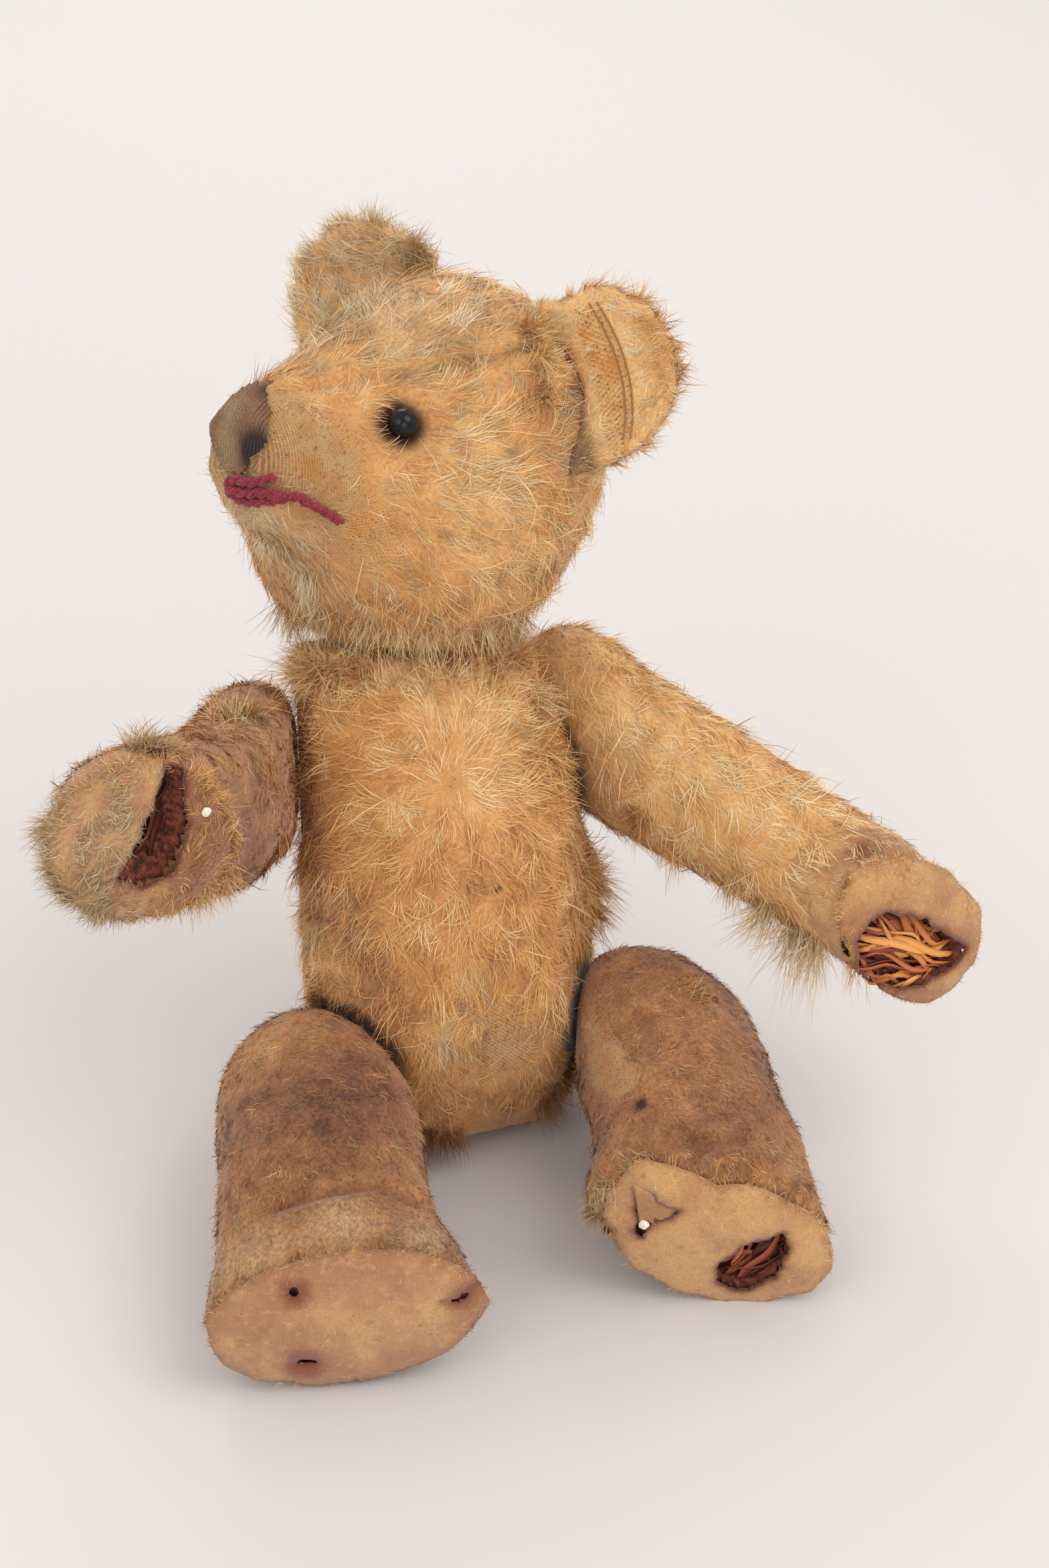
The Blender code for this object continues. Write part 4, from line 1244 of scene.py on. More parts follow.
def zoned(name, flat, key, start=0.0):
    """A pad's start value with every zone's change of one kind added, at points of the pad's plane."""
    total = np.full(len(flat), float(start))
    for middle, reach, changes in PADS[name]["zones"]:
        if key in changes:
            far = np.linalg.norm(flat - middle, axis=1) / reach
            total += changes[key] * np.exp(-1.6 * far ** 2)
    return total


def mark_felt(name, piece, soil):
    """Stores how light, brown, stained and dirty a felt piece is at each point."""
    spots = places(piece.data)
    flat = inside_frame(pad_frame(name), spots)[:, :2]
    store(piece.data, "soil", np.clip(soil, 0, 1))
    store(piece.data, "light", zoned(name, flat, "light", PADS[name]["light"]) + 0.25 * lumps(spots, 12, 21))
    store(piece.data, "dusk", np.clip(zoned(name, flat, "dusk"), 0, 1))
    store(piece.data, "stain", np.clip(zoned(name, flat, "stain"), 0, 1))


def make_pad(name):
    """One worn felt pad, with its holes, its fuzz and what clings to it."""
    pad, outline = PADS[name], pad_outline(name)
    middle, _, radius = outline
    size = radius.max() + 2
    count = int(2 * size / PAD_STEP)
    mesh = bmesh.new()
    bmesh.ops.create_grid(mesh, x_segments=count, y_segments=count, size=size)
    bmesh.ops.translate(mesh, verts=mesh.verts, vec=(*middle, 0))
    flat = np.array([v.co[:2] for v in mesh.verts])
    inside = rim_gap(flat, outline)[0]
    hole = holes_gap(pad, flat)
    keep = (inside > -0.45 * PAD_STEP) & (hole > -0.45 * PAD_STEP)
    mesh.verts.ensure_lookup_table()
    bmesh.ops.delete(mesh, geom=[v for v, k in zip(mesh.verts[:], keep) if not k], context="VERTS")
    loose = [v for v in mesh.verts if len(v.link_faces) < 1]
    bmesh.ops.delete(mesh, geom=loose, context="VERTS")
    for _ in range(3):
        snap_rims(mesh, pad, outline)
        inner = [v for v in mesh.verts if not v.is_boundary]
        bmesh.ops.smooth_vert(mesh, verts=inner, factor=0.4, use_axis_x=True, use_axis_y=True)
    flat = np.array([v.co[:2] for v in mesh.verts])
    share = np.clip(rim_gap(flat, outline)[1], 0, 1)
    lift = pad_height(name, share, flat)
    wrinkle = 0.3 * lumps(np.column_stack([flat, lift]) * MM, 5, 20)
    for v, z, w in zip(mesh.verts, lift, wrinkle):
        v.co.z = z + w
    onto_pad(mesh, name)
    made = new_piece(name + "_felt", mesh, pad_felt())
    gap = holes_gap(pad, flat)
    mark_felt(name, made, pad.get("worn", 0.85) * np.exp(-np.maximum(gap, 0) / 1.2) + 0.3 * share ** 10)
    thicken(made, FELT_THICK)
    made.data.shade_smooth()
    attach(made, name)
    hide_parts(name + "_pad")
    extra = [fuzz_pad(name, made, 91)] + make_specks(name) + ([make_flap(name)] if name == "leg_left" else [])
    name + "_plush"


def make_flap(name):
    """The inner layer of felt that shows in the tear of the left sole."""
    mesh = bmesh.new()
    bmesh.ops.create_grid(mesh, x_segments=10, y_segments=10, size=0.5)
    corners = np.array(((-16.2, 12.6), (-5.6, 7.0), (-10.4, 2.4), (-14.6, 3.2)))
    for v in mesh.verts:
        s, t = v.co.x + 0.5, 0.5 - v.co.y
        at = (corners[0] * (1 - s) + corners[1] * s) * (1 - t) + (corners[3] * (1 - s) + corners[2] * s) * t
        lift = 1.0 + 0.9 * t + 0.3 * math.sin(5 * s + 3 * t)
        v.co = pad_frame(name) @ (Vector((at[0], at[1], lift)) * MM)
    made = new_piece(name + "_flap", mesh, pad_felt())
    mark_felt(name, made, np.full(len(made.data.vertices), 0.22))
    thicken(made, FLAP_THICK)
    made.data.shade_smooth()
    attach(made, name)
    return made


def make_specks(name):
    """Small pale balls of wadding caught on the felt: each is its place in the pad's plane and its radius."""
    pieces = []
    for number, (across, up, radius) in enumerate(PADS[name].get("specks", ())):
        mesh = bmesh.new()
        bmesh.ops.create_icosphere(mesh, subdivisions=3, radius=radius)
        spots = np.array([v.co[:] for v in mesh.verts]) * MM
        outline = pad_outline(name)
        flat = np.array([[across, up]])
        height = pad_height(name, np.clip(rim_gap(flat, outline)[1], 0, 1), flat)[0]
        for v, lump in zip(mesh.verts, lumps(spots, 0.8, number + 60)):
            v.co = Vector((across, up, height + 0.4)) + Vector((v.co.x, v.co.y, v.co.z * 0.5)) * (1 + 0.2 * lump)
        onto_pad(mesh, name)
        made = new_piece(name + "_speck", mesh, pale_wadding())
        made.data.shade_smooth()
        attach(made, name)
        pieces.append(made)
    return pieces


def fuzz_pad(name, piece, seed):
    """The fine fibres that stand on worn felt, and the cover's hair that laps over its rim."""
    mesh = piece.data
    spots, way = places(mesh), ways(mesh)
    frame_in, outline, pad = pad_frame(name), pad_outline(name), PADS[name]
    flat = inside_frame(frame_in, spots)[:, :2]
    facing = way @ np.array(frame_in.col[2].to_3d()) > 0.15
    inside = rim_gap(flat, outline)[0]
    edge = np.exp(-((inside - 0.4) / (0.6 + pad["edge"])) ** 2) * min(pad["edge"], 1.0)
    outward = np.column_stack([flat - outline[0], np.zeros(len(spots))])
    outward = unit(outward) @ np.array(frame_in)[:3, :3].T
    flow = swirls(spots, 6, seed) * (1 - 0.5 * edge)[:, None] + outward * (0.9 * edge)[:, None]
    long = zoned(name, flat, "long")
    hole = holes_gap(pad, flat)
    tone = 0.52 + pad["light"] * 0.6 + 0.1 * lumps(spots, 8, seed) - 0.25 * zoned(name, flat, "dusk")
    field = dict(density=facing * (1 + zoned(name, flat, "dense") + 6 * edge),
                 length=(1.4 + long + 1.6 * edge * pad["edge"]) * np.clip(0.4 + hole / 3, 0.4, 1),
                 lift=0.4 + 0.06 * long, flow=along_skin(flow, way),
                 tone=tone * (1 - edge) + pad["hair"] * edge,
                 grey=np.clip(zoned(name, flat, "grey", 0.1) + 0.25 * edge, 0, 1))
    made = grow_pile(name + "_felt_fuzz", piece, int(4000 + 3500 * (pad["edge"] > 1)), field, seed, 4)
    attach(made, name)
    return made


def snap_rims(mesh, pad, outline):
    """Pulls the open edges of a pad onto its rim and onto its holes."""
    rim = [v for v in mesh.verts if v.is_boundary]
    flat = np.array([v.co[:2] for v in rim])
    small = 0.02

    def gap(at):
        inside = rim_gap(at, outline)[0]
        hole = holes_gap(pad, at)
        return np.where(np.abs(inside) < np.abs(hole), inside, hole)

    here = gap(flat)
    grad = np.stack([(gap(flat + (small, 0)) - here) / small, (gap(flat + (0, small)) - here) / small], 1)
    push = grad * (here / np.maximum((grad ** 2).sum(1), 0.2))[:, None]
    far = np.linalg.norm(push, axis=1)
    push *= (np.minimum(far, 1.0) / np.maximum(far, 1e-9))[:, None]
    for v, move in zip(rim, push):
        v.co.x -= move[0]
        v.co.y -= move[1]


# ---- wood wool ----
def make_hollow(name):
    """The dark bowl of packed filling behind each hole of a pad."""
    mesh = bmesh.new()
    outline = pad_outline(name)
    for hole in PADS[name]["holes"]:
        middle, half_long, half_wide, _ = hole_place(hole)
        made = bmesh.ops.create_grid(mesh, x_segments=24, y_segments=24, size=half_long + 2)["verts"]
        flat = np.array([v.co[:2] for v in made]) + middle
        gap = hole_gap(flat, hole, 0.0)
        inside = rim_gap(flat, outline)[0]
        deepest = 0.6 if half_wide < NARROW_HOLE else min(4.6, 1.6 + half_wide * 0.6)
        for v, at, out in zip(made, flat, gap):
            v.co = Vector((at[0], at[1], -0.5 - deepest * min(max((1.8 - out) / 3.5, 0.0), 1.0)))
        outer = [v for v, out, within in zip(made, gap, inside) if out > 2.0 or within < 0.3]
        bmesh.ops.delete(mesh, geom=outer, context="VERTS")
    onto_pad(mesh, name)
    piece = new_piece(name + "_hollow", mesh, packed_shavings())
    thicken(piece, HOLLOW_THICK)
    piece.data.shade_smooth()
    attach(piece, name)
    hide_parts(name + "_stuffing")


def make_shavings(name, seed):
    """Curled strips of wood that fill the hollow behind each hole of a pad."""
    rng = np.random.default_rng(seed)
    lines, sides, tones, widths = [], [], [], []
    t = np.linspace(-1, 1, 11)
    dark, deep = PADS[name]["dark"], PADS[name].get("deep", 0.4)
    for hole in PADS[name]["holes"]:
        (across, up), half_long, half_wide, lean = hole_place(hole)
        if half_wide < NARROW_HOLE:
            continue
        for _ in range(int(8 + half_long * half_wide * 0.62)):
            off = rng.uniform(-1.05, 1.05)
            chord = half_long * math.sqrt(max(1.15 - off * off, 0.05)) * rng.uniform(0.6, 1.1)
            way, bend = rng.normal(0, 0.3), rng.normal(0, 0.4)
            a = rng.normal(0, 0.15) * half_long + chord * t * math.cos(way)
            b = off * half_wide + chord * t * math.sin(way) + bend * half_wide * (t ** 2 - 0.4)
            b = b + 0.12 * half_wide * np.sin(4 * t + rng.uniform(0, 6))
            flat = np.stack([across + a * math.cos(lean) - b * math.sin(lean),
                             up + a * math.sin(lean) + b * math.cos(lean)], 1)
            for _ in range(2):
                over = np.maximum(hole_gap(flat, hole, 0.0) - 0.8, 0)[:, None]
                flat = flat - over * unit(flat - (across, up))
            edge = np.clip(1 + hole_gap(flat, hole, 0.0) / 3, 0, 1.3)
            level = rng.uniform(0, 1)
            depth = -deep - level * min(3.8, 0.8 + half_wide * 0.5) - 1.3 * edge ** 2
            depth = depth + 0.5 * np.sin(4 * t + rng.uniform(0, 6))
            lines.append(np.column_stack([flat, depth]))
            twist = rng.uniform(-0.5, 0.5)
            sides.append((-math.sin(way + lean) * math.cos(twist), math.cos(way + lean) * math.cos(twist),
                          math.sin(twist)))
            # Deeper shavings (a higher level) get a darker tone: painted shade in the hollow.
            tones.append(np.clip(0.86 - 0.75 * level - dark + rng.normal(0, 0.14), 0.02, 0.98))
            widths.append(rng.uniform(0.3, 1.1) * min(1.0, 0.35 + half_wide / 9))
    if not lines:
        return
    turn = np.array(pad_frame(name))
    lines = np.array(lines) * MM @ turn[:3, :3].T + turn[:3, 3]
    sides = np.array(sides) @ turn[:3, :3].T
    mesh = strips(name + "_shavings", lines, sides, np.array(widths) * MM, np.array(tones))
    made = new_piece(name + "_shavings", mesh, shaving_wood())
    thicken(made, SHAVING_THICK)
    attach(made, name)


def strips(name, lines, sides, widths, tones):
    """Flat strips along their lines, narrowed at both ends."""
    mesh = bmesh.new()
    layer = mesh.loops.layers.uv.new("OFBake")
    for line, side, width, tone in zip(lines, sides, widths, tones):
        last = len(line) - 1
        pairs = []
        for i, p in enumerate(line):
            reach = side * width * (0.35 + 0.65 * math.sin(math.pi * i / last))
            pairs.append([mesh.verts.new(p - reach), mesh.verts.new(p + reach)])
        for i, (one, two) in enumerate(zip(pairs, pairs[1:])):
            face = mesh.faces.new((one[0], one[1], two[1], two[0]))
            face.smooth = True
            for loop, (u, v) in zip(face.loops, ((-1, i), (1, i), (1, i + 1), (-1, i + 1))):
                loop[layer].uv = (0.02 + 0.96 * tone + 0.01 * u, 0.05 + 0.9 * v / last)
    data = bpy.data.meshes.new(name)
    mesh.to_mesh(data)
    mesh.free()
    return data


# ---- ears ----
EARS = {
    "ear_left": dict(base=(31, 18, 58), run=(14, -3, -29), out=(22, 14, 1), ribbed=1.0, torn=7.0),
    "ear_right": dict(base=(-25, 20, 67), run=(14, 2, 17), out=(-22, -6, 9), ribbed=0.0, torn=0.0),
}


def ear_frame(name):
    """Origin in the middle of the ear's root, X along the root, Y the way the ear stands, Z out of its front."""
    ear = EARS[name]
    turn = HEAD.to_3x3()
    x = (turn @ Vector(ear["run"])).normalized()
    y = turn @ Vector(ear["out"])
    y = (y - x * y.dot(x)).normalized()
    return frame_from(x, y, x.cross(y), head_point(*ear["base"]))


def make_ear(name, seed):
    """One ear of mohair cloth, its front bald and ribbed where `ribbed` is 1, and its hair."""
    piece = voxel_copy(name + "_cloth", [name], EAR_VOXEL, 3)
    mesh, ribbed = piece.data, EARS[name]["ribbed"]
    spots, place = places(mesh), ear_frame(name)
    turn = np.array(place.inverted())
    across, high, _ = inside_frame(place, spots).T
    # The seam has let go at the top of the root, and the corner there has curled in.
    corner_gap = np.hypot(across + 16, high)
    torn = EARS[name]["torn"] * np.exp(-(corner_gap / 8) ** 2)
    curl = turn[0, :3] * 0.85 + turn[1, :3] * 0.5
    move_to(mesh, spots + ways(mesh) * (0.4 * MM * lumps(spots, 6, seed))[:, None] + curl * (torn * MM)[:, None])
    spots, way = places(mesh), ways(mesh)
    across, high, _ = inside_frame(place, spots).T
    facing = np.clip(way @ turn[2, :3] * 2.0, 0, 1)
    band = np.clip((high - 4.5) / 2, 0, 1) * np.clip((14.0 - 0.012 * across ** 2 - high) / 2, 0, 1)
    band *= np.clip((across + 15) / 4, 0, 1) * ribbed
    # Painted shade: the ear's front darkens at its root, where it meets the head; root darkens the cloth (as soil)
    # and the hair.
    root = facing * np.clip((5 - high) / 4, 0, 1) * np.clip((across + 13) / 8, 0.15, 1)
    store(mesh, "bald", np.clip(facing * band * 1.4 + 0.06, 0, 1))
    store(mesh, "soil", np.clip(0.08 + 0.6 * root + 0.15 * lumps(spots, 5, 34), 0, 1))
    tone = 0.84 + 0.14 * lumps(spots, 9, 33) - 0.2 * ribbed * np.clip((high - 15) / 6, 0, 1)
    store(mesh, "tone", np.clip(tone, 0, 1))
    flow = along_skin(turn[1, :3] + 0.5 * swirls(spots, 8, seed), way)
    flat = np.stack([across * 0.8, high * 0.6], 1)
    layer = mesh.uv_layers.new(name="weave")
    layer.uv.foreach_set("vector", flat[corner_points(mesh)].astype(np.float32).ravel())
    mesh.materials.append(woven_mohair())
    mesh.shade_smooth()
    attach(piece, "head")
    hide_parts(name)
    field = dict(density=np.clip(1.1 - 1.3 * facing * band - 0.5 * root, 0.0, 1),
                 length=(5.8 - 2.6 * facing * ribbed) * (1 + 0.3 * lumps(spots, 6, 31)), flow=flow,
                 lift=0.42 + 0.2 * lumps(spots, 7, 32), tone=stored(mesh, "tone") - 0.2 * root,
                 grey=0.3 + 0.2 * (1 - ribbed) + 0.3 * facing * np.clip((6 - high) / 4, 0, 1))
    made = grow_pile(name + "_pile", piece, EAR_HAIRS, field, seed)
    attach(made, "head")
    if ribbed:
        stitch_ear(name, piece)


def stitch_ear(name, piece):
    """Two rows of brown stitches along the bald front of the ear."""
    place = ear_frame(name)
    tree = mesh_tree(piece.data)
    inward = -place.col[2].to_3d()
    routes = []
    for row, gap in ((11.6, 0.95), (13.2, 1.1)):
        for across in np.arange(-14, 16, gap):
            route = []
            for share in (0.0, 0.5, 1.0):
                x = across + share * gap * 0.8
                start = place @ (Vector((x, row - 0.012 * x * x, 30)) * MM)
                hit = tree.ray_cast(start, inward)
                if hit[0] is not None:
                    route.append(hit[0] + hit[1] * (0.05 + 0.25 * math.sin(math.pi * share)) * MM)
            if len(route) == 3:
                routes.append(route)
    made = thread(name + "_stitches", routes, STITCH_RADIUS, seam_cotton(), 6)
    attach(made, "head")


# ---- wisps ----
# Each wisp: its place and way, its length, number of hairs, tone and share of grey hairs. The head's are given in
# the head's own frame.
TUFTS = {
    "torso": (
        ((-26, 23, 111), (-0.7, -0.6, 0.9), 11, 300, 0.8, 0.1),
        ((-22, 20, 111), (-0.4, -0.7, 0.9), 10, 260, 0.75, 0.1),
        ((-21, 20, 110), (-0.3, -0.8, 0.4), 7, 200, 0.45, 0.0),
        ((-15, 19, 109.5), (-0.1, -0.7, 0.9), 7, 220, 0.5, 0.0),
        ((-3, 18.5, 109), (0.1, -0.7, 0.8), 8, 220, 0.45, 0.0),
        ((1, 18, 108.5), (0.1, -0.9, 0.0), 9, 260, 0.38, 0.0),
        ((7, 17.5, 108.5), (0.2, -0.7, 0.8), 8, 220, 0.5, 0.0),
        ((14, 18, 108.5), (0.3, -0.7, 0.9), 8, 240, 0.62, 0.1),
        ((21, 20, 107.5), (0.5, -0.6, 0.8), 9, 240, 0.5, 0.1),
        ((33, 6, 60), (0.9, -0.3, -0.3), 7, 220, 0.6, 0.1),
        ((36, 10, 54), (0.9, -0.3, -0.5), 8, 240, 0.55, 0.1),
        ((35, 8, 47), (0.8, -0.4, -0.6), 7, 200, 0.5, 0.1),
        ((27, 14, 101), (0.8, -0.5, 0.2), 8, 220, 0.75, 0.2),
        ((29, 6, 92), (0.8, -0.5, -0.3), 8, 200, 0.65, 0.1),
        ((-27.5, 20.5, 105), (-0.6, -0.8, -0.2), 5, 170, 0.16, 0.0),
        ((-28.5, 18, 100), (-0.6, -0.8, -0.2), 5, 170, 0.1, 0.0),
        ((-29, 15.5, 95), (-0.6, -0.8, -0.2), 5, 170, 0.12, 0.0),
        ((-29.8, 13, 90), (-0.6, -0.8, -0.2), 5, 170, 0.1, 0.0),
        ((-30.5, 11, 85), (-0.6, -0.8, -0.3), 5, 170, 0.16, 0.0),
        ((-31.5, 8.5, 80), (-0.6, -0.8, -0.4), 6, 180, 0.22, 0.1),
        ((-33, 6, 74), (-0.6, -0.8, -0.5), 6, 180, 0.3, 0.2),
        ((-33, 5, 62), (-0.9, -0.4, -0.3), 5, 160, 0.5, 0.4),
        ((-31, 2, 40), (-0.9, -0.5, 0.2), 6, 200, 0.12, 0.4),
        ((-28, -6, 36), (-0.6, -0.8, -0.3), 5, 180, 0.12, 0.3),
        ((-12, -15, 11), (-0.3, -0.7, -0.6), 5, 240, 0.1, 0.0),
        ((-7, -16.5, 9), (0.3, -0.8, -0.5), 5, 200, 0.2, 0.0),
        ((17, -12, 12), (0.2, -0.8, -0.4), 6, 240, 0.35, 0.4),
        ((22, -13, 18), (0.7, -0.7, 0.0), 5, 180, 0.12, 0.3),
    ),
    "head": (
        ((25, 13, 71), (0.7, 0.0, 0.7), 7, 240, 0.7, 0.3),
        ((29, 12, 68), (0.7, -0.2, 0.5), 7, 240, 0.72, 0.2),
        ((31, 12, 63), (0.7, -0.4, 0.3), 6, 220, 0.7, 0.2),
        ((33, 10, 56), (0.6, -0.5, 0.2), 5, 200, 0.5, 0.1),
        ((-2, -42, 23), (0, -0.1, -1), 5, 160, 0.95, 0.8),
        ((2, -36, 14), (0, -0.1, -1), 5, 160, 0.95, 0.8),
        ((-3, -30, 9), (-0.1, -0.2, -1), 5, 160, 0.9, 0.7),
        ((-14, 14, 84), (0.6, 0.1, 0.5), 7, 220, 0.6, 0.4),
        ((-24, 14, 88), (0.3, 0.1, 0.9), 6, 220, 0.8, 0.5),
        ((-34, 13, 86), (-0.2, 0.1, 0.9), 6, 220, 0.8, 0.5),
        ((-42, 15, 80), (-0.7, 0.0, 0.6), 6, 220, 0.8, 0.5),
        ((-9, 13, 80), (0.8, -0.1, 0.4), 7, 200, 0.68, 0.3),
    ),
    "arm_left": (
        ((64, -31, 56), (-0.3, -0.4, -0.9), 13, 260, 0.88, 0.4),
        ((68, -34, 54), (-0.1, -0.4, -0.9), 12, 240, 0.9, 0.4),
        ((76, -41, 52), (-0.1, -0.2, -1.0), 6, 60, 0.6, 0.1),
        ((60, -27, 60), (-0.4, -0.3, -0.8), 11, 220, 0.8, 0.4),
        ((54, -21, 64), (-0.4, -0.3, -0.9), 6, 180, 0.65, 0.2),
        ((45, -9, 70), (-0.3, -0.3, -0.9), 6, 180, 0.5, 0.1),
        ((40, -2, 76), (-0.5, -0.5, -0.7), 6, 180, 0.4, 0.1),
    ),
    "arm_right": (
        ((-69, -32, 131), (0.3, -0.1, 1.0), 9, 320, 0.45, 0.8),
        ((-64, -28, 129), (0.4, -0.2, 0.9), 5, 180, 0.6, 0.7),
        ((-89, -38, 120), (-0.8, -0.4, 0.5), 5, 220, 0.6, 0.8),
        ((-91, -37, 110), (-0.8, -0.4, 0.0), 5, 200, 0.55, 0.8),
        ((-46, 6, 118), (-0.1, -0.1, 1.0), 8, 240, 0.75, 0.5),
        ((-40, 10, 116), (0.0, -0.3, 1.0), 7, 200, 0.7, 0.5),
        ((-55, -30, 96), (0.3, -0.7, -0.5), 5, 200, 0.5, 0.3),
        ((-60, -34, 95), (0.1, -0.7, -0.6), 5, 200, 0.55, 0.4),
    ),
    "leg_left": (
        ((11, -63, 21), (-0.8, -0.5, 0.1), 4, 200, 0.45, 0.9),
        ((13, -65, 28), (-0.7, -0.5, 0.5), 4, 200, 0.55, 0.9),
        ((18, -69, 35), (-0.3, -0.4, 0.9), 4, 200, 0.6, 0.9),
        ((47, -27, 50), (0.6, -0.2, 0.8), 5, 180, 0.6, 0.2),
    ),
}


def neck_ring(name):
    """Wisps all round the neck: down from the head and up from the body."""
    if name not in ("head", "torso"):
        return ()
    found = []
    for angle in np.linspace(0, math.tau, 23)[:-1]:
        x, y = math.cos(angle), math.sin(angle)
        if name == "head":
            found.append(((25 * x, 25 * y, 7), (0.25 * x, 0.25 * y, -1), 7, 90, 0.8, 0.25))
        else:
            place = head_point(23 * x, 23 * y, -5) / MM
            way = HEAD.to_3x3() @ Vector((0.5 * x, 0.5 * y, 1))
            found.append((tuple(place), tuple(way), 6.5, 90, 0.8, 0.15))
    return tuple(found)


def make_tufts(name, seed):
    """The torn wisps of one body, each rooted on its nearest cloth."""
    rng = np.random.default_rng(seed)
    lines, sides, tones = [], [], []
    skins = [name + "_plush"] + (["ear_left_cloth", "ear_right_cloth"] if name == "head" else [])
    trees = [BVHTree.FromObject(bpy.data.objects[skin], bpy.context.evaluated_depsgraph_get()) for skin in skins]
    for centre, way, length, count, tone, grey in TUFTS[name] + neck_ring(name):
        if name == "head":
            centre, way = placed(name, centre), tuple(HEAD.to_3x3() @ Vector(way))
        way = np.array(way) / np.linalg.norm(way)
        start = min((tree.find_nearest(Vector(centre) * MM) for tree in trees), key=lambda hit: hit[3])[0]
        root = np.array(start) / MM + rng.normal(0, 1.6, (count, 3))
        for i, spot in enumerate(root):
            hit = min((tree.find_nearest(Vector(spot) * MM) for tree in trees), key=lambda hit: hit[3])
            root[i] = (hit[0] - hit[1] * 0.3 * MM) / MM
        lean = unit(way + rng.normal(0, 0.3, (count, 3)) + rng.normal(0, 0.3, (6, 3))[rng.integers(0, 6, count)])
        bend = rng.normal(0, 0.25, (6, 3))[rng.integers(0, 6, count)] + (0, 0, -0.25)
        far = length * rng.uniform(0.5, 1.15, count)
        part = np.linspace(0, 1, 4)
        sway = part[:, None] * lean[:, None] + part[:, None] ** 2 * bend[:, None]
        lines.append((root[:, None] + far[:, None, None] * sway) * MM)
        sides.append(unit(np.cross(lean, rng.normal(0, 1, (count, 3)))))
        shade = np.clip(tone + rng.normal(0, 0.12, count), 0.02, 0.98)
        tones.append(np.where(rng.random(count) < grey, 0.53 + 0.46 * shade, 0.47 * shade))
    lines, sides, tones = np.concatenate(lines), np.concatenate(sides), np.concatenate(tones)
    lines[:, :, 2] = np.maximum(lines[:, :, 2], FLOOR_GAP * MM)
    normal = unit(np.cross(sides, unit(lines[:, -1] - lines[:, 0])))
    up = unit(lines.mean(1) - places(bpy.data.objects[name + "_plush"].data).mean(0))
    flip = np.sign((normal * up).sum(1))[:, None]
    mesh = ribbons(name + "_tufts", lines, sides * flip, unit(up * 0.6 + normal * flip * 0.4),
                   np.full(len(lines), 0.07 * MM), tones)
    made = new_piece(name + "_tufts", mesh, mohair_pile())
    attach(made, name)


# ---- face ----
def turned_piece(name, profile, place, surface):
    """A turned solid from (radius, distance along) pairs in millimetres, closed at both ends."""
    mesh = bmesh.new()
    line = [mesh.verts.new((radius * MM, 0, along * MM)) for radius, along in profile]
    edges = [mesh.edges.new(pair) for pair in zip(line, line[1:])]
    bmesh.ops.spin(mesh, geom=line + edges, cent=(0, 0, 0), axis=(0, 0, 1), angle=math.tau,
                   steps=TURNED_SIDES, use_merge=True)
    bmesh.ops.remove_doubles(mesh, verts=mesh.verts, dist=1e-7)
    bmesh.ops.holes_fill(mesh, edges=mesh.edges[:], sides=TURNED_SIDES)
    bmesh.ops.recalc_face_normals(mesh, faces=mesh.faces[:])
    bmesh.ops.transform(mesh, matrix=place, verts=mesh.verts)
    return new_piece(name, mesh, surface)


def make_eye(name, side):
    """A glass bead on its shank, its place and way the mean of four points of the cloth round it."""
    tree = body_tree("head")
    middle, hits = head_point(0, -5, 42), []
    for left, up in ((5, 0), (-5, 0), (0, 5), (0, -5)):
        way = (head_point(19.5 * side + left, -20, 50.6 + up) - middle).normalized()
        hits.append(tree.ray_cast(middle + way * 0.1, -way))
    place = sum((hit[0] for hit in hits), Vector()) / len(hits)
    normal = sum((hit[1] for hit in hits), Vector()).normalized()
    profile = [(0, -3), (0.5, -3), (0.5, -1.0)]
    for i in range(13):
        a = math.radians(-62 + 152 * i / 12)
        profile.append((EYE_RADIUS * math.cos(a), 1.0 + 3.0 * math.sin(a)))
    profile[-1] = (0, profile[-1][1])
    made = turned_piece(name + "_bead", profile, axis_frame(place, normal), bead_glass())
    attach(made, "head")
    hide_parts(name)


def thread(name, routes, radius, surface, sides):
    """Round threads through lists of points, as one mesh."""
    curve = bpy.data.curves.new(name, "CURVE")
    curve.dimensions = "3D"
    curve.bevel_depth = radius * MM
    curve.bevel_resolution = max(sides // 2 - 2, 0)
    curve.use_fill_caps = True
    for route in routes:
        line = curve.splines.new("POLY")
        line.points.add(len(route) - 1)
        for point, place in zip(line.points, route):
            point.co = (*place, 1.0)
    made = bpy.data.objects.new(name, curve)
    bpy.context.scene.collection.objects.link(made)
    graph = bpy.context.evaluated_depsgraph_get()
    mesh = bpy.data.meshes.new_from_object(made.evaluated_get(graph), depsgraph=graph)
    bpy.data.objects.remove(made)
    mesh.name = name
    mesh.shade_smooth()
    mesh.materials.clear()
    return new_piece(name, mesh, surface)


# The nose's half width by height, in the head's millimetres.
NOSE_HALF = ((41.8, 2.6), (43, 3.6), (45, 4.8), (48.5, 8.1), (51, 7.6), (53.5, 6.4), (57, 3.6), (58.6, 2.0))


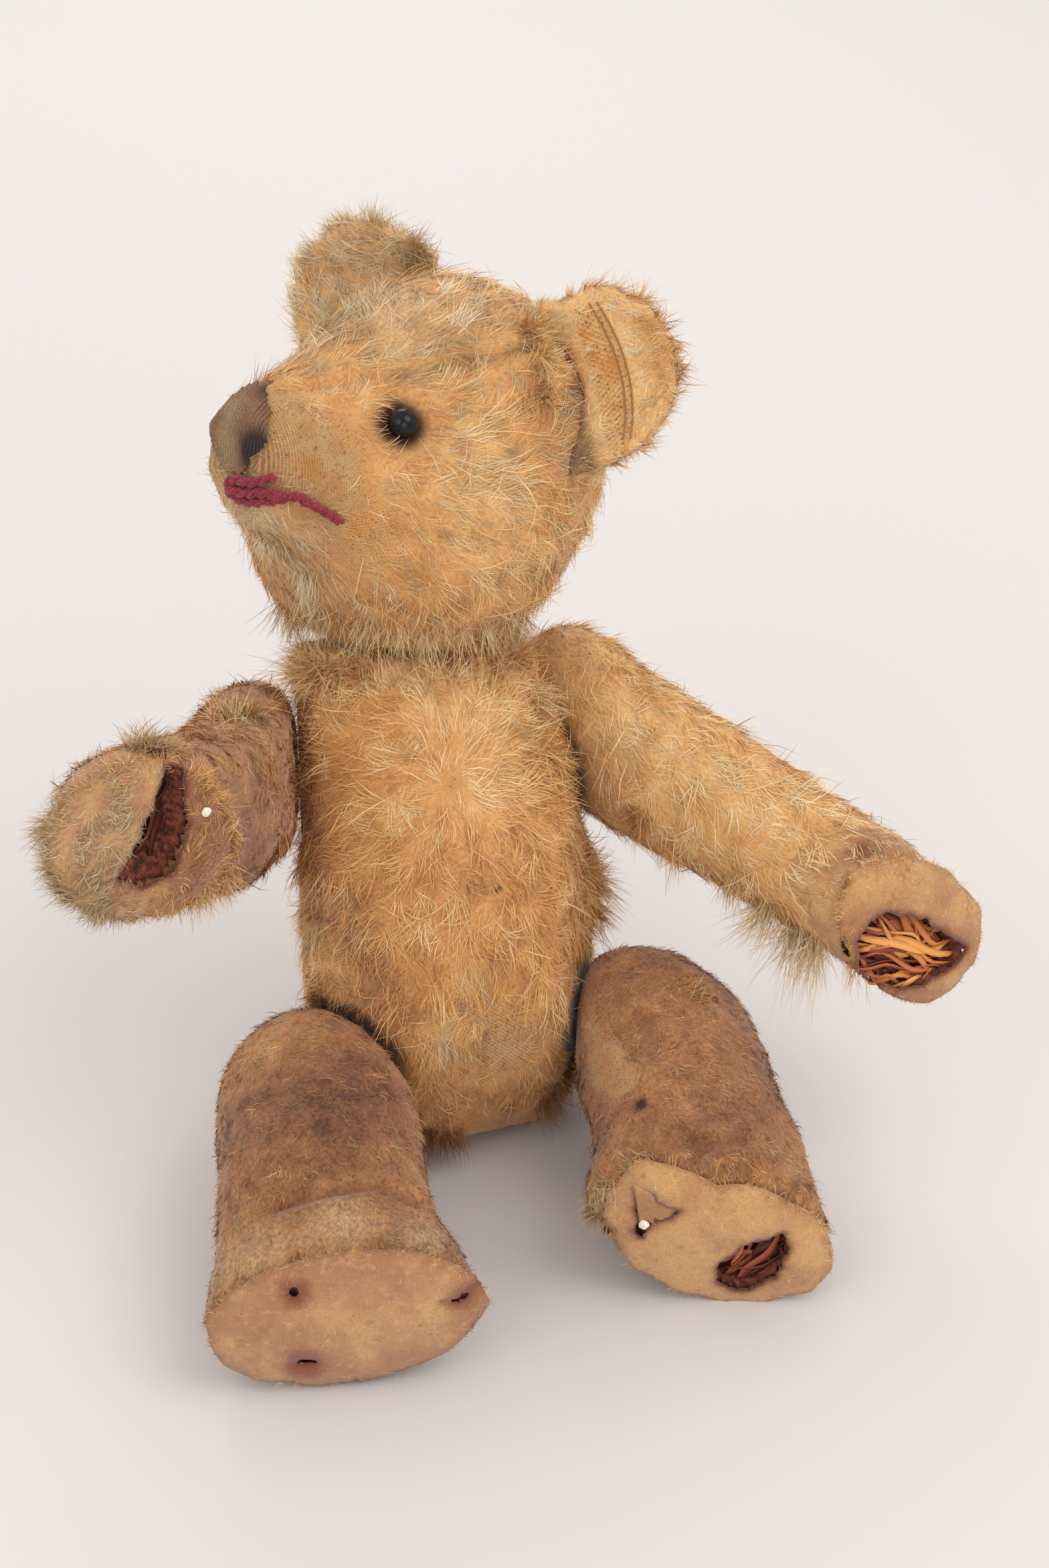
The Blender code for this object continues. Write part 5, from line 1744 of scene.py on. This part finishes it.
def make_nose():
    """Floss stitched up and down over the tip of the muzzle, side by side."""
    tree = body_tree("head")
    rng = np.random.default_rng(5)
    heights, halves = np.array(NOSE_HALF, float).T
    fine = np.linspace(heights[0], heights[-1], 80)
    wide = np.interp(fine, heights, halves)
    routes = []
    for left in np.arange(-8.1, 8.2, FLOSS_STEP):
        held = fine[wide >= abs(left)]
        if len(held) < 2:
            continue
        low, high = held.min() + rng.uniform(-0.5, 0.3), held.max() + rng.uniform(-0.3, 0.5)
        route = []
        for share in np.linspace(0, 1, 14):
            spot = head_point(left + 0.15 * math.sin(share * 9 + left), -62, low + (high - low) * share)
            hit = tree.ray_cast(spot, HEAD.col[1].to_3d())
            if hit[0] is None:
                continue
            rise = 0.95 * math.sin(math.pi * min(max(share, 0.06), 0.94)) ** 0.35 - 0.15
            route.append(hit[0] + hit[1] * rise * MM)
        if len(route) > 3:
            routes.append(route)
    made = thread("nose_floss", routes, FLOSS_RADIUS, nose_stitches(), 8)
    spots = places(made.data)
    left, _, high = inside_frame(HEAD, spots).T
    wear = 0.55 + 0.25 * lumps(spots, 4, 40) - 1.0 * np.exp(-((left - 6.0) / 3.2) ** 2 - ((high - 46.5) / 5.0) ** 2)
    wear += 0.45 * np.exp(-((left + 1.5) / 3.0) ** 2) - 0.5 * np.exp(-((high - 58) / 1.8) ** 2)
    store(made.data, "wear", np.clip(wear, 0, 1))
    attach(made, "head")
    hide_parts("nose_stitching")


# The yarn's routes through the head's millimetres.
MOUTH = ((15.8, -34.2, 32.2), (15.1, -37.2, 34.1), (14.1, -40.2, 36), (12.6, -43.6, 38.2), (9.8, -46, 37.4),
         (7.2, -46.9, 36.6), (4.2, -47.5, 36.1), (1, -47.9, 36.6), (-1.4, -48.2, 38.2), (-0.4, -48.4, 40.2),
         (2.4, -48.4, 40.4), (5.2, -48.1, 40.4), (8, -47.5, 40.9), (10.2, -46.6, 41.6))
LIP = ((11.5, -45.4, 38.4), (8, -47, 38.6), (4, -47.9, 38.2), (0.5, -48.2, 38.6), (-1.2, -48.4, 39.4))


def make_mouth():
    """Two-ply red yarn: a long stitch up to the lips, a loop round them and a strand laid inside it."""
    tree = body_tree("head")
    routes = []
    for points, lift in ((MOUTH, 1.1), (LIP, 1.5)):
        points = np.array(points, float)
        far = np.concatenate([[0], np.cumsum(np.linalg.norm(np.diff(points, axis=0), axis=1))])
        steps = np.arange(0, far[-1], 0.45)
        fine = np.stack([np.interp(steps, far, points[:, i]) for i in range(3)], 1)
        for _ in range(6):
            fine[1:-1] = (fine[:-2] + 2 * fine[1:-1] + fine[2:]) / 4
        plies = [[], []]
        for i, place in enumerate(fine):
            spot, normal, _, _ = tree.find_nearest(head_point(*place))
            ahead = Vector(fine[min(i + 1, len(fine) - 1)] - fine[max(i - 1, 0)])
            side = (HEAD.to_3x3() @ ahead).normalized().cross(normal).normalized()
            for ply, start in zip(plies, (0, math.pi)):
                turn = steps[i] / YARN_TWIST * math.tau + start
                off = side * math.cos(turn) + normal * math.sin(turn)
                ply.append(spot + (normal * lift + off * 0.46) * MM)
        routes += plies
    made = thread("mouth_yarn", routes, YARN_RADIUS, mouth_yarn(), 8)
    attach(made, "head")
    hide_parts("mouth_stitching")


# ---- hardware ----
def finish_hidden():
    """Looks for the CAD solids that stay: discs, washers and pins."""
    for name, node in frame["nodes"].items():
        if name.endswith("_disc"):
            surface = disc_board()
        elif name.endswith(("_washer", "_cotter_pin")):
            surface = dull_steel()
        else:
            continue
        for slot in node.material_slots:
            slot.material = surface


# ---- stage ----
# Each lamp: its place, what it points at, its size, its power and its colour.
LAMPS = {
    "key": ((0.6, -0.6, 1.15), (0, 0, 0.08), 1.0, 5.2, (1.0, 0.985, 0.96)),
    "fill": ((-0.85, -0.65, 0.8), (0, 0, 0.08), 0.8, 2.0, (0.95, 0.98, 1.0)),
    "top": ((0.2, 1.2, 1.1), (0, 0.2, 0.1), 0.9, 5.3, (1, 1, 1)),
    "low": ((-0.1, -1.3, 0.42), (0, 0, 0.03), 0.9, 2.4, (1.0, 0.985, 0.96)),
}
FLOOR_HALF = 12.0
WORLD_COLOUR = (1.0, 0.99, 0.985, 1.0)
WORLD_STRENGTH = 0.9
CAMERA_PLACE = (-0.12986, -0.44899, 0.37191)
CAMERA_TURN = (math.radians(59), 0, math.radians(-18))
CAMERA_LENS = 39.25


def add_lamp(name, place, aim, size, power, colour):
    data = bpy.data.lights.new(name, "AREA")
    data.shape = "DISK"
    data.size = size
    data.energy = power
    data.color = colour
    lamp = bpy.data.objects.new(name, data)
    lamp.location = place
    lamp.rotation_euler = (Vector(aim) - Vector(place)).to_track_quat("-Z", "Y").to_euler()
    bpy.context.scene.collection.objects.link(lamp)


def make_stage():
    scene = bpy.context.scene
    mesh = bmesh.new()
    bmesh.ops.create_grid(mesh, x_segments=8, y_segments=8, size=FLOOR_HALF)
    bmesh.ops.recalc_face_normals(mesh, faces=mesh.faces[:])
    floor = new_piece("floor", mesh, floor_paper())
    world = bpy.data.worlds.new("studio")
    world.use_nodes = True
    world.node_tree.nodes["Background"].inputs["Color"].default_value = WORLD_COLOUR
    world.node_tree.nodes["Background"].inputs["Strength"].default_value = WORLD_STRENGTH
    scene.world = world
    for name, values in LAMPS.items():
        add_lamp(name, *values)
    camera = bpy.data.cameras.new("camera")
    camera.sensor_fit = "VERTICAL"
    camera.sensor_height = 24
    camera.lens = CAMERA_LENS
    camera.clip_start = 0.01
    shot = bpy.data.objects.new("camera", camera)
    shot.location = CAMERA_PLACE
    shot.rotation_euler = CAMERA_TURN
    scene.collection.objects.link(shot)
    scene.camera = shot
    scene.view_settings.view_transform = "Standard"


# ---- settings, operators and panel ----
def colour_property(name, description, code):
    return FloatVectorProperty(name=name, description=description, subtype="COLOR", size=3, min=0, max=1,
                               default=tint(code))


class BearSettings(bpy.types.PropertyGroup):
    pile_length: FloatProperty(name="Pile length", description="Length of the pile against its usual one",
                               default=1.0, min=0.2, max=2.0)
    hairs: IntProperty(name="Hairs", description="Hairs on the torso; the other pieces follow it",
                       default=47000, min=1000, max=66000)
    pile: colour_property("Pile", "Middle tone of the mohair", "D89E5E")
    pile_light: colour_property("Light pile", "Faded mohair", "EBC588")
    pile_pale: colour_property("Pale pile", "Bleached tips", "F3DFB8")
    pile_shade: colour_property("Brown pile", "Darker mohair", "AC7650")
    # The dark ends of both hair ramps also serve hairs darkened as painted shade between bodies and in folds.
    pile_deep: colour_property("Dark pile", "Mohair in the dirtiest places", "6A4433")
    grey_deep: colour_property("Deep grey pile", "Dirty hairs", "4E3E34")
    grey: colour_property("Grey pile", "Grey hairs", "9C8266")
    grey_light: colour_property("Light grey pile", "Hairs that lost their gold", "C8AE82")
    grey_pale: colour_property("Pale grey pile", "Whitish hairs", "E8D9BA")
    pile_root: colour_property("Pile root", "Mohair near the cloth", "C08A58")
    under: colour_property("Nap", "Short nap between the hairs", "CA9256")
    under_light: colour_property("Light nap", "Palest nap", "E8C086")
    under_shade: colour_property("Brown nap", "Darker nap", "9C6A46")
    under_deep: colour_property("Deep nap", "Deep places between the hairs", "5A3828")
    weave: colour_property("Weave", "Bald backing cloth", "D6AC72")
    weave_gold: colour_property("Golden weave", "Bald backing cloth where it kept its colour", "CC8A44")
    weave_shade: colour_property("Weave, shaded", "Gaps of the backing cloth", "A26E3C")
    # The colour that ground-in dirt and the painted shade between bodies, along seams and at the ears' roots darken
    # the cloth towards.
    soil: colour_property("Soil", "Ground-in dirt", "3C221A")
    soil_red: colour_property("Worn edge", "Dark edges of the felt", "6E3826")
    felt: colour_property("Felt", "Pads", "D6A66E")
    felt_shade: colour_property("Felt, shaded", "Worn places of the pads", "B27E5A")
    felt_deep: colour_property("Felt, deep", "Between the felt's fibres", "96623E")
    felt_light: colour_property("Felt, pale", "Rubbed felt", "E2B486")
    felt_brown: colour_property("Felt, brown", "Felt that kept its brown", "9A6848")
    felt_stain: colour_property("Felt, stained", "Brown marks round the small holes", "8E5038")
    straw: colour_property("Wood wool", "Shavings", "DE9048")
    straw_light: colour_property("Light wood wool", "Bright shavings", "EEB870")
    straw_shade: colour_property("Brown wood wool", "Old shavings", "A2523A")
    straw_deep: colour_property("Deep wood wool", "Shaded shavings", "3A1812")
    floss: colour_property("Floss", "Nose stitches", "80583C")
    floss_worn: colour_property("Worn floss", "Nose stitches rubbed grey", "9C7E5A")
    floss_deep: colour_property("Dark floss", "Nose stitches that kept their dye", "2A1A16")
    yarn: colour_property("Yarn", "Mouth", "A42A3C")
    yarn_shade: colour_property("Yarn, shaded", "Mouth, between the fibres", "5C1222")


class BearOperator:
    bl_options = {"REGISTER", "UNDO"}


class BEAR_OT_covers(BearOperator, bpy.types.Operator):
    """Makes the six stuffed mohair covers"""

    bl_idname = "bear.covers"
    bl_label = "Covers"

    def execute(self, context):
        for name in SOFT:
            make_cover(name)
        make_filling("torso")
        make_filling("head")
        return {"FINISHED"}


class BEAR_OT_ears(BearOperator, bpy.types.Operator):
    """Makes both ears with their hair"""

    bl_idname = "bear.ears"
    bl_label = "Ears"

    def execute(self, context):
        make_ear("ear_left", 71)
        make_ear("ear_right", 72)
        return {"FINISHED"}


class BEAR_OT_pile(BearOperator, bpy.types.Operator):
    """Grows what is left of the pile on the covers"""

    bl_idname = "bear.pile"
    bl_label = "Pile"

    def execute(self, context):
        for i, name in enumerate(SOFT):
            make_pile(name, int(context.scene.threadbare_bear.hairs * COVERS[name]["hairs"]), 11 + i)
        return {"FINISHED"}


class BEAR_OT_tufts(BearOperator, bpy.types.Operator):
    """Adds the torn wisps at the neck, hips, paws and ears"""

    bl_idname = "bear.tufts"
    bl_label = "Wisps"

    def execute(self, context):
        for i, name in enumerate(TUFTS):
            make_tufts(name, 51 + i)
        return {"FINISHED"}


class BEAR_OT_pads(BearOperator, bpy.types.Operator):
    """Makes the worn felt pads of paws and feet"""

    bl_idname = "bear.pads"
    bl_label = "Pads"

    def execute(self, context):
        for name in LIMBS:
            make_pad(name)
        return {"FINISHED"}


class BEAR_OT_shavings(BearOperator, bpy.types.Operator):
    """Makes the wood wool that shows in the holes"""

    bl_idname = "bear.shavings"
    bl_label = "Wood wool"

    def execute(self, context):
        for i, name in enumerate(LIMBS):
            make_hollow(name)
            make_shavings(name, 31 + i)
        return {"FINISHED"}


class BEAR_OT_face(BearOperator, bpy.types.Operator):
    """Makes the eyes, the stitched nose and the yarn mouth"""

    bl_idname = "bear.face"
    bl_label = "Face"

    def execute(self, context):
        make_eye("eye_left", 1)
        make_eye("eye_right", -1)
        make_nose()
        make_mouth()
        return {"FINISHED"}


class BEAR_OT_hidden(BearOperator, bpy.types.Operator):
    """Gives the discs, washers and pins their looks"""

    bl_idname = "bear.hidden"
    bl_label = "Joints"

    def execute(self, context):
        finish_hidden()
        return {"FINISHED"}


class BEAR_OT_stage(BearOperator, bpy.types.Operator):
    """Makes the floor, the lamps and the camera"""

    bl_idname = "bear.stage"
    bl_label = "Stage"

    def execute(self, context):
        make_stage()
        return {"FINISHED"}


STEPS = ("covers", "ears", "pile", "tufts", "pads", "shavings", "face", "hidden", "stage")


class BEAR_PT_panel(bpy.types.Panel):
    bl_label = "Threadbare Bear"
    bl_space_type = "VIEW_3D"
    bl_region_type = "UI"
    bl_category = "Bear"

    def draw(self, context):
        for step in STEPS:
            self.layout.operator("bear." + step)
        for name in BearSettings.__annotations__:
            self.layout.prop(context.scene.threadbare_bear, name)


CLASSES = (BearSettings, BEAR_OT_covers, BEAR_OT_ears, BEAR_OT_pile, BEAR_OT_tufts, BEAR_OT_pads, BEAR_OT_shavings,
           BEAR_OT_face, BEAR_OT_hidden, BEAR_OT_stage, BEAR_PT_panel)


def register():
    for made in CLASSES:
        bpy.utils.register_class(made)
    bpy.types.Scene.threadbare_bear = PointerProperty(type=BearSettings)


def unregister():
    del bpy.types.Scene.threadbare_bear
    for made in reversed(CLASSES):
        bpy.utils.unregister_class(made)


def main():
    register()
    for step in STEPS:
        getattr(bpy.ops.bear, step)()


if __name__ == "__main__":
    main()
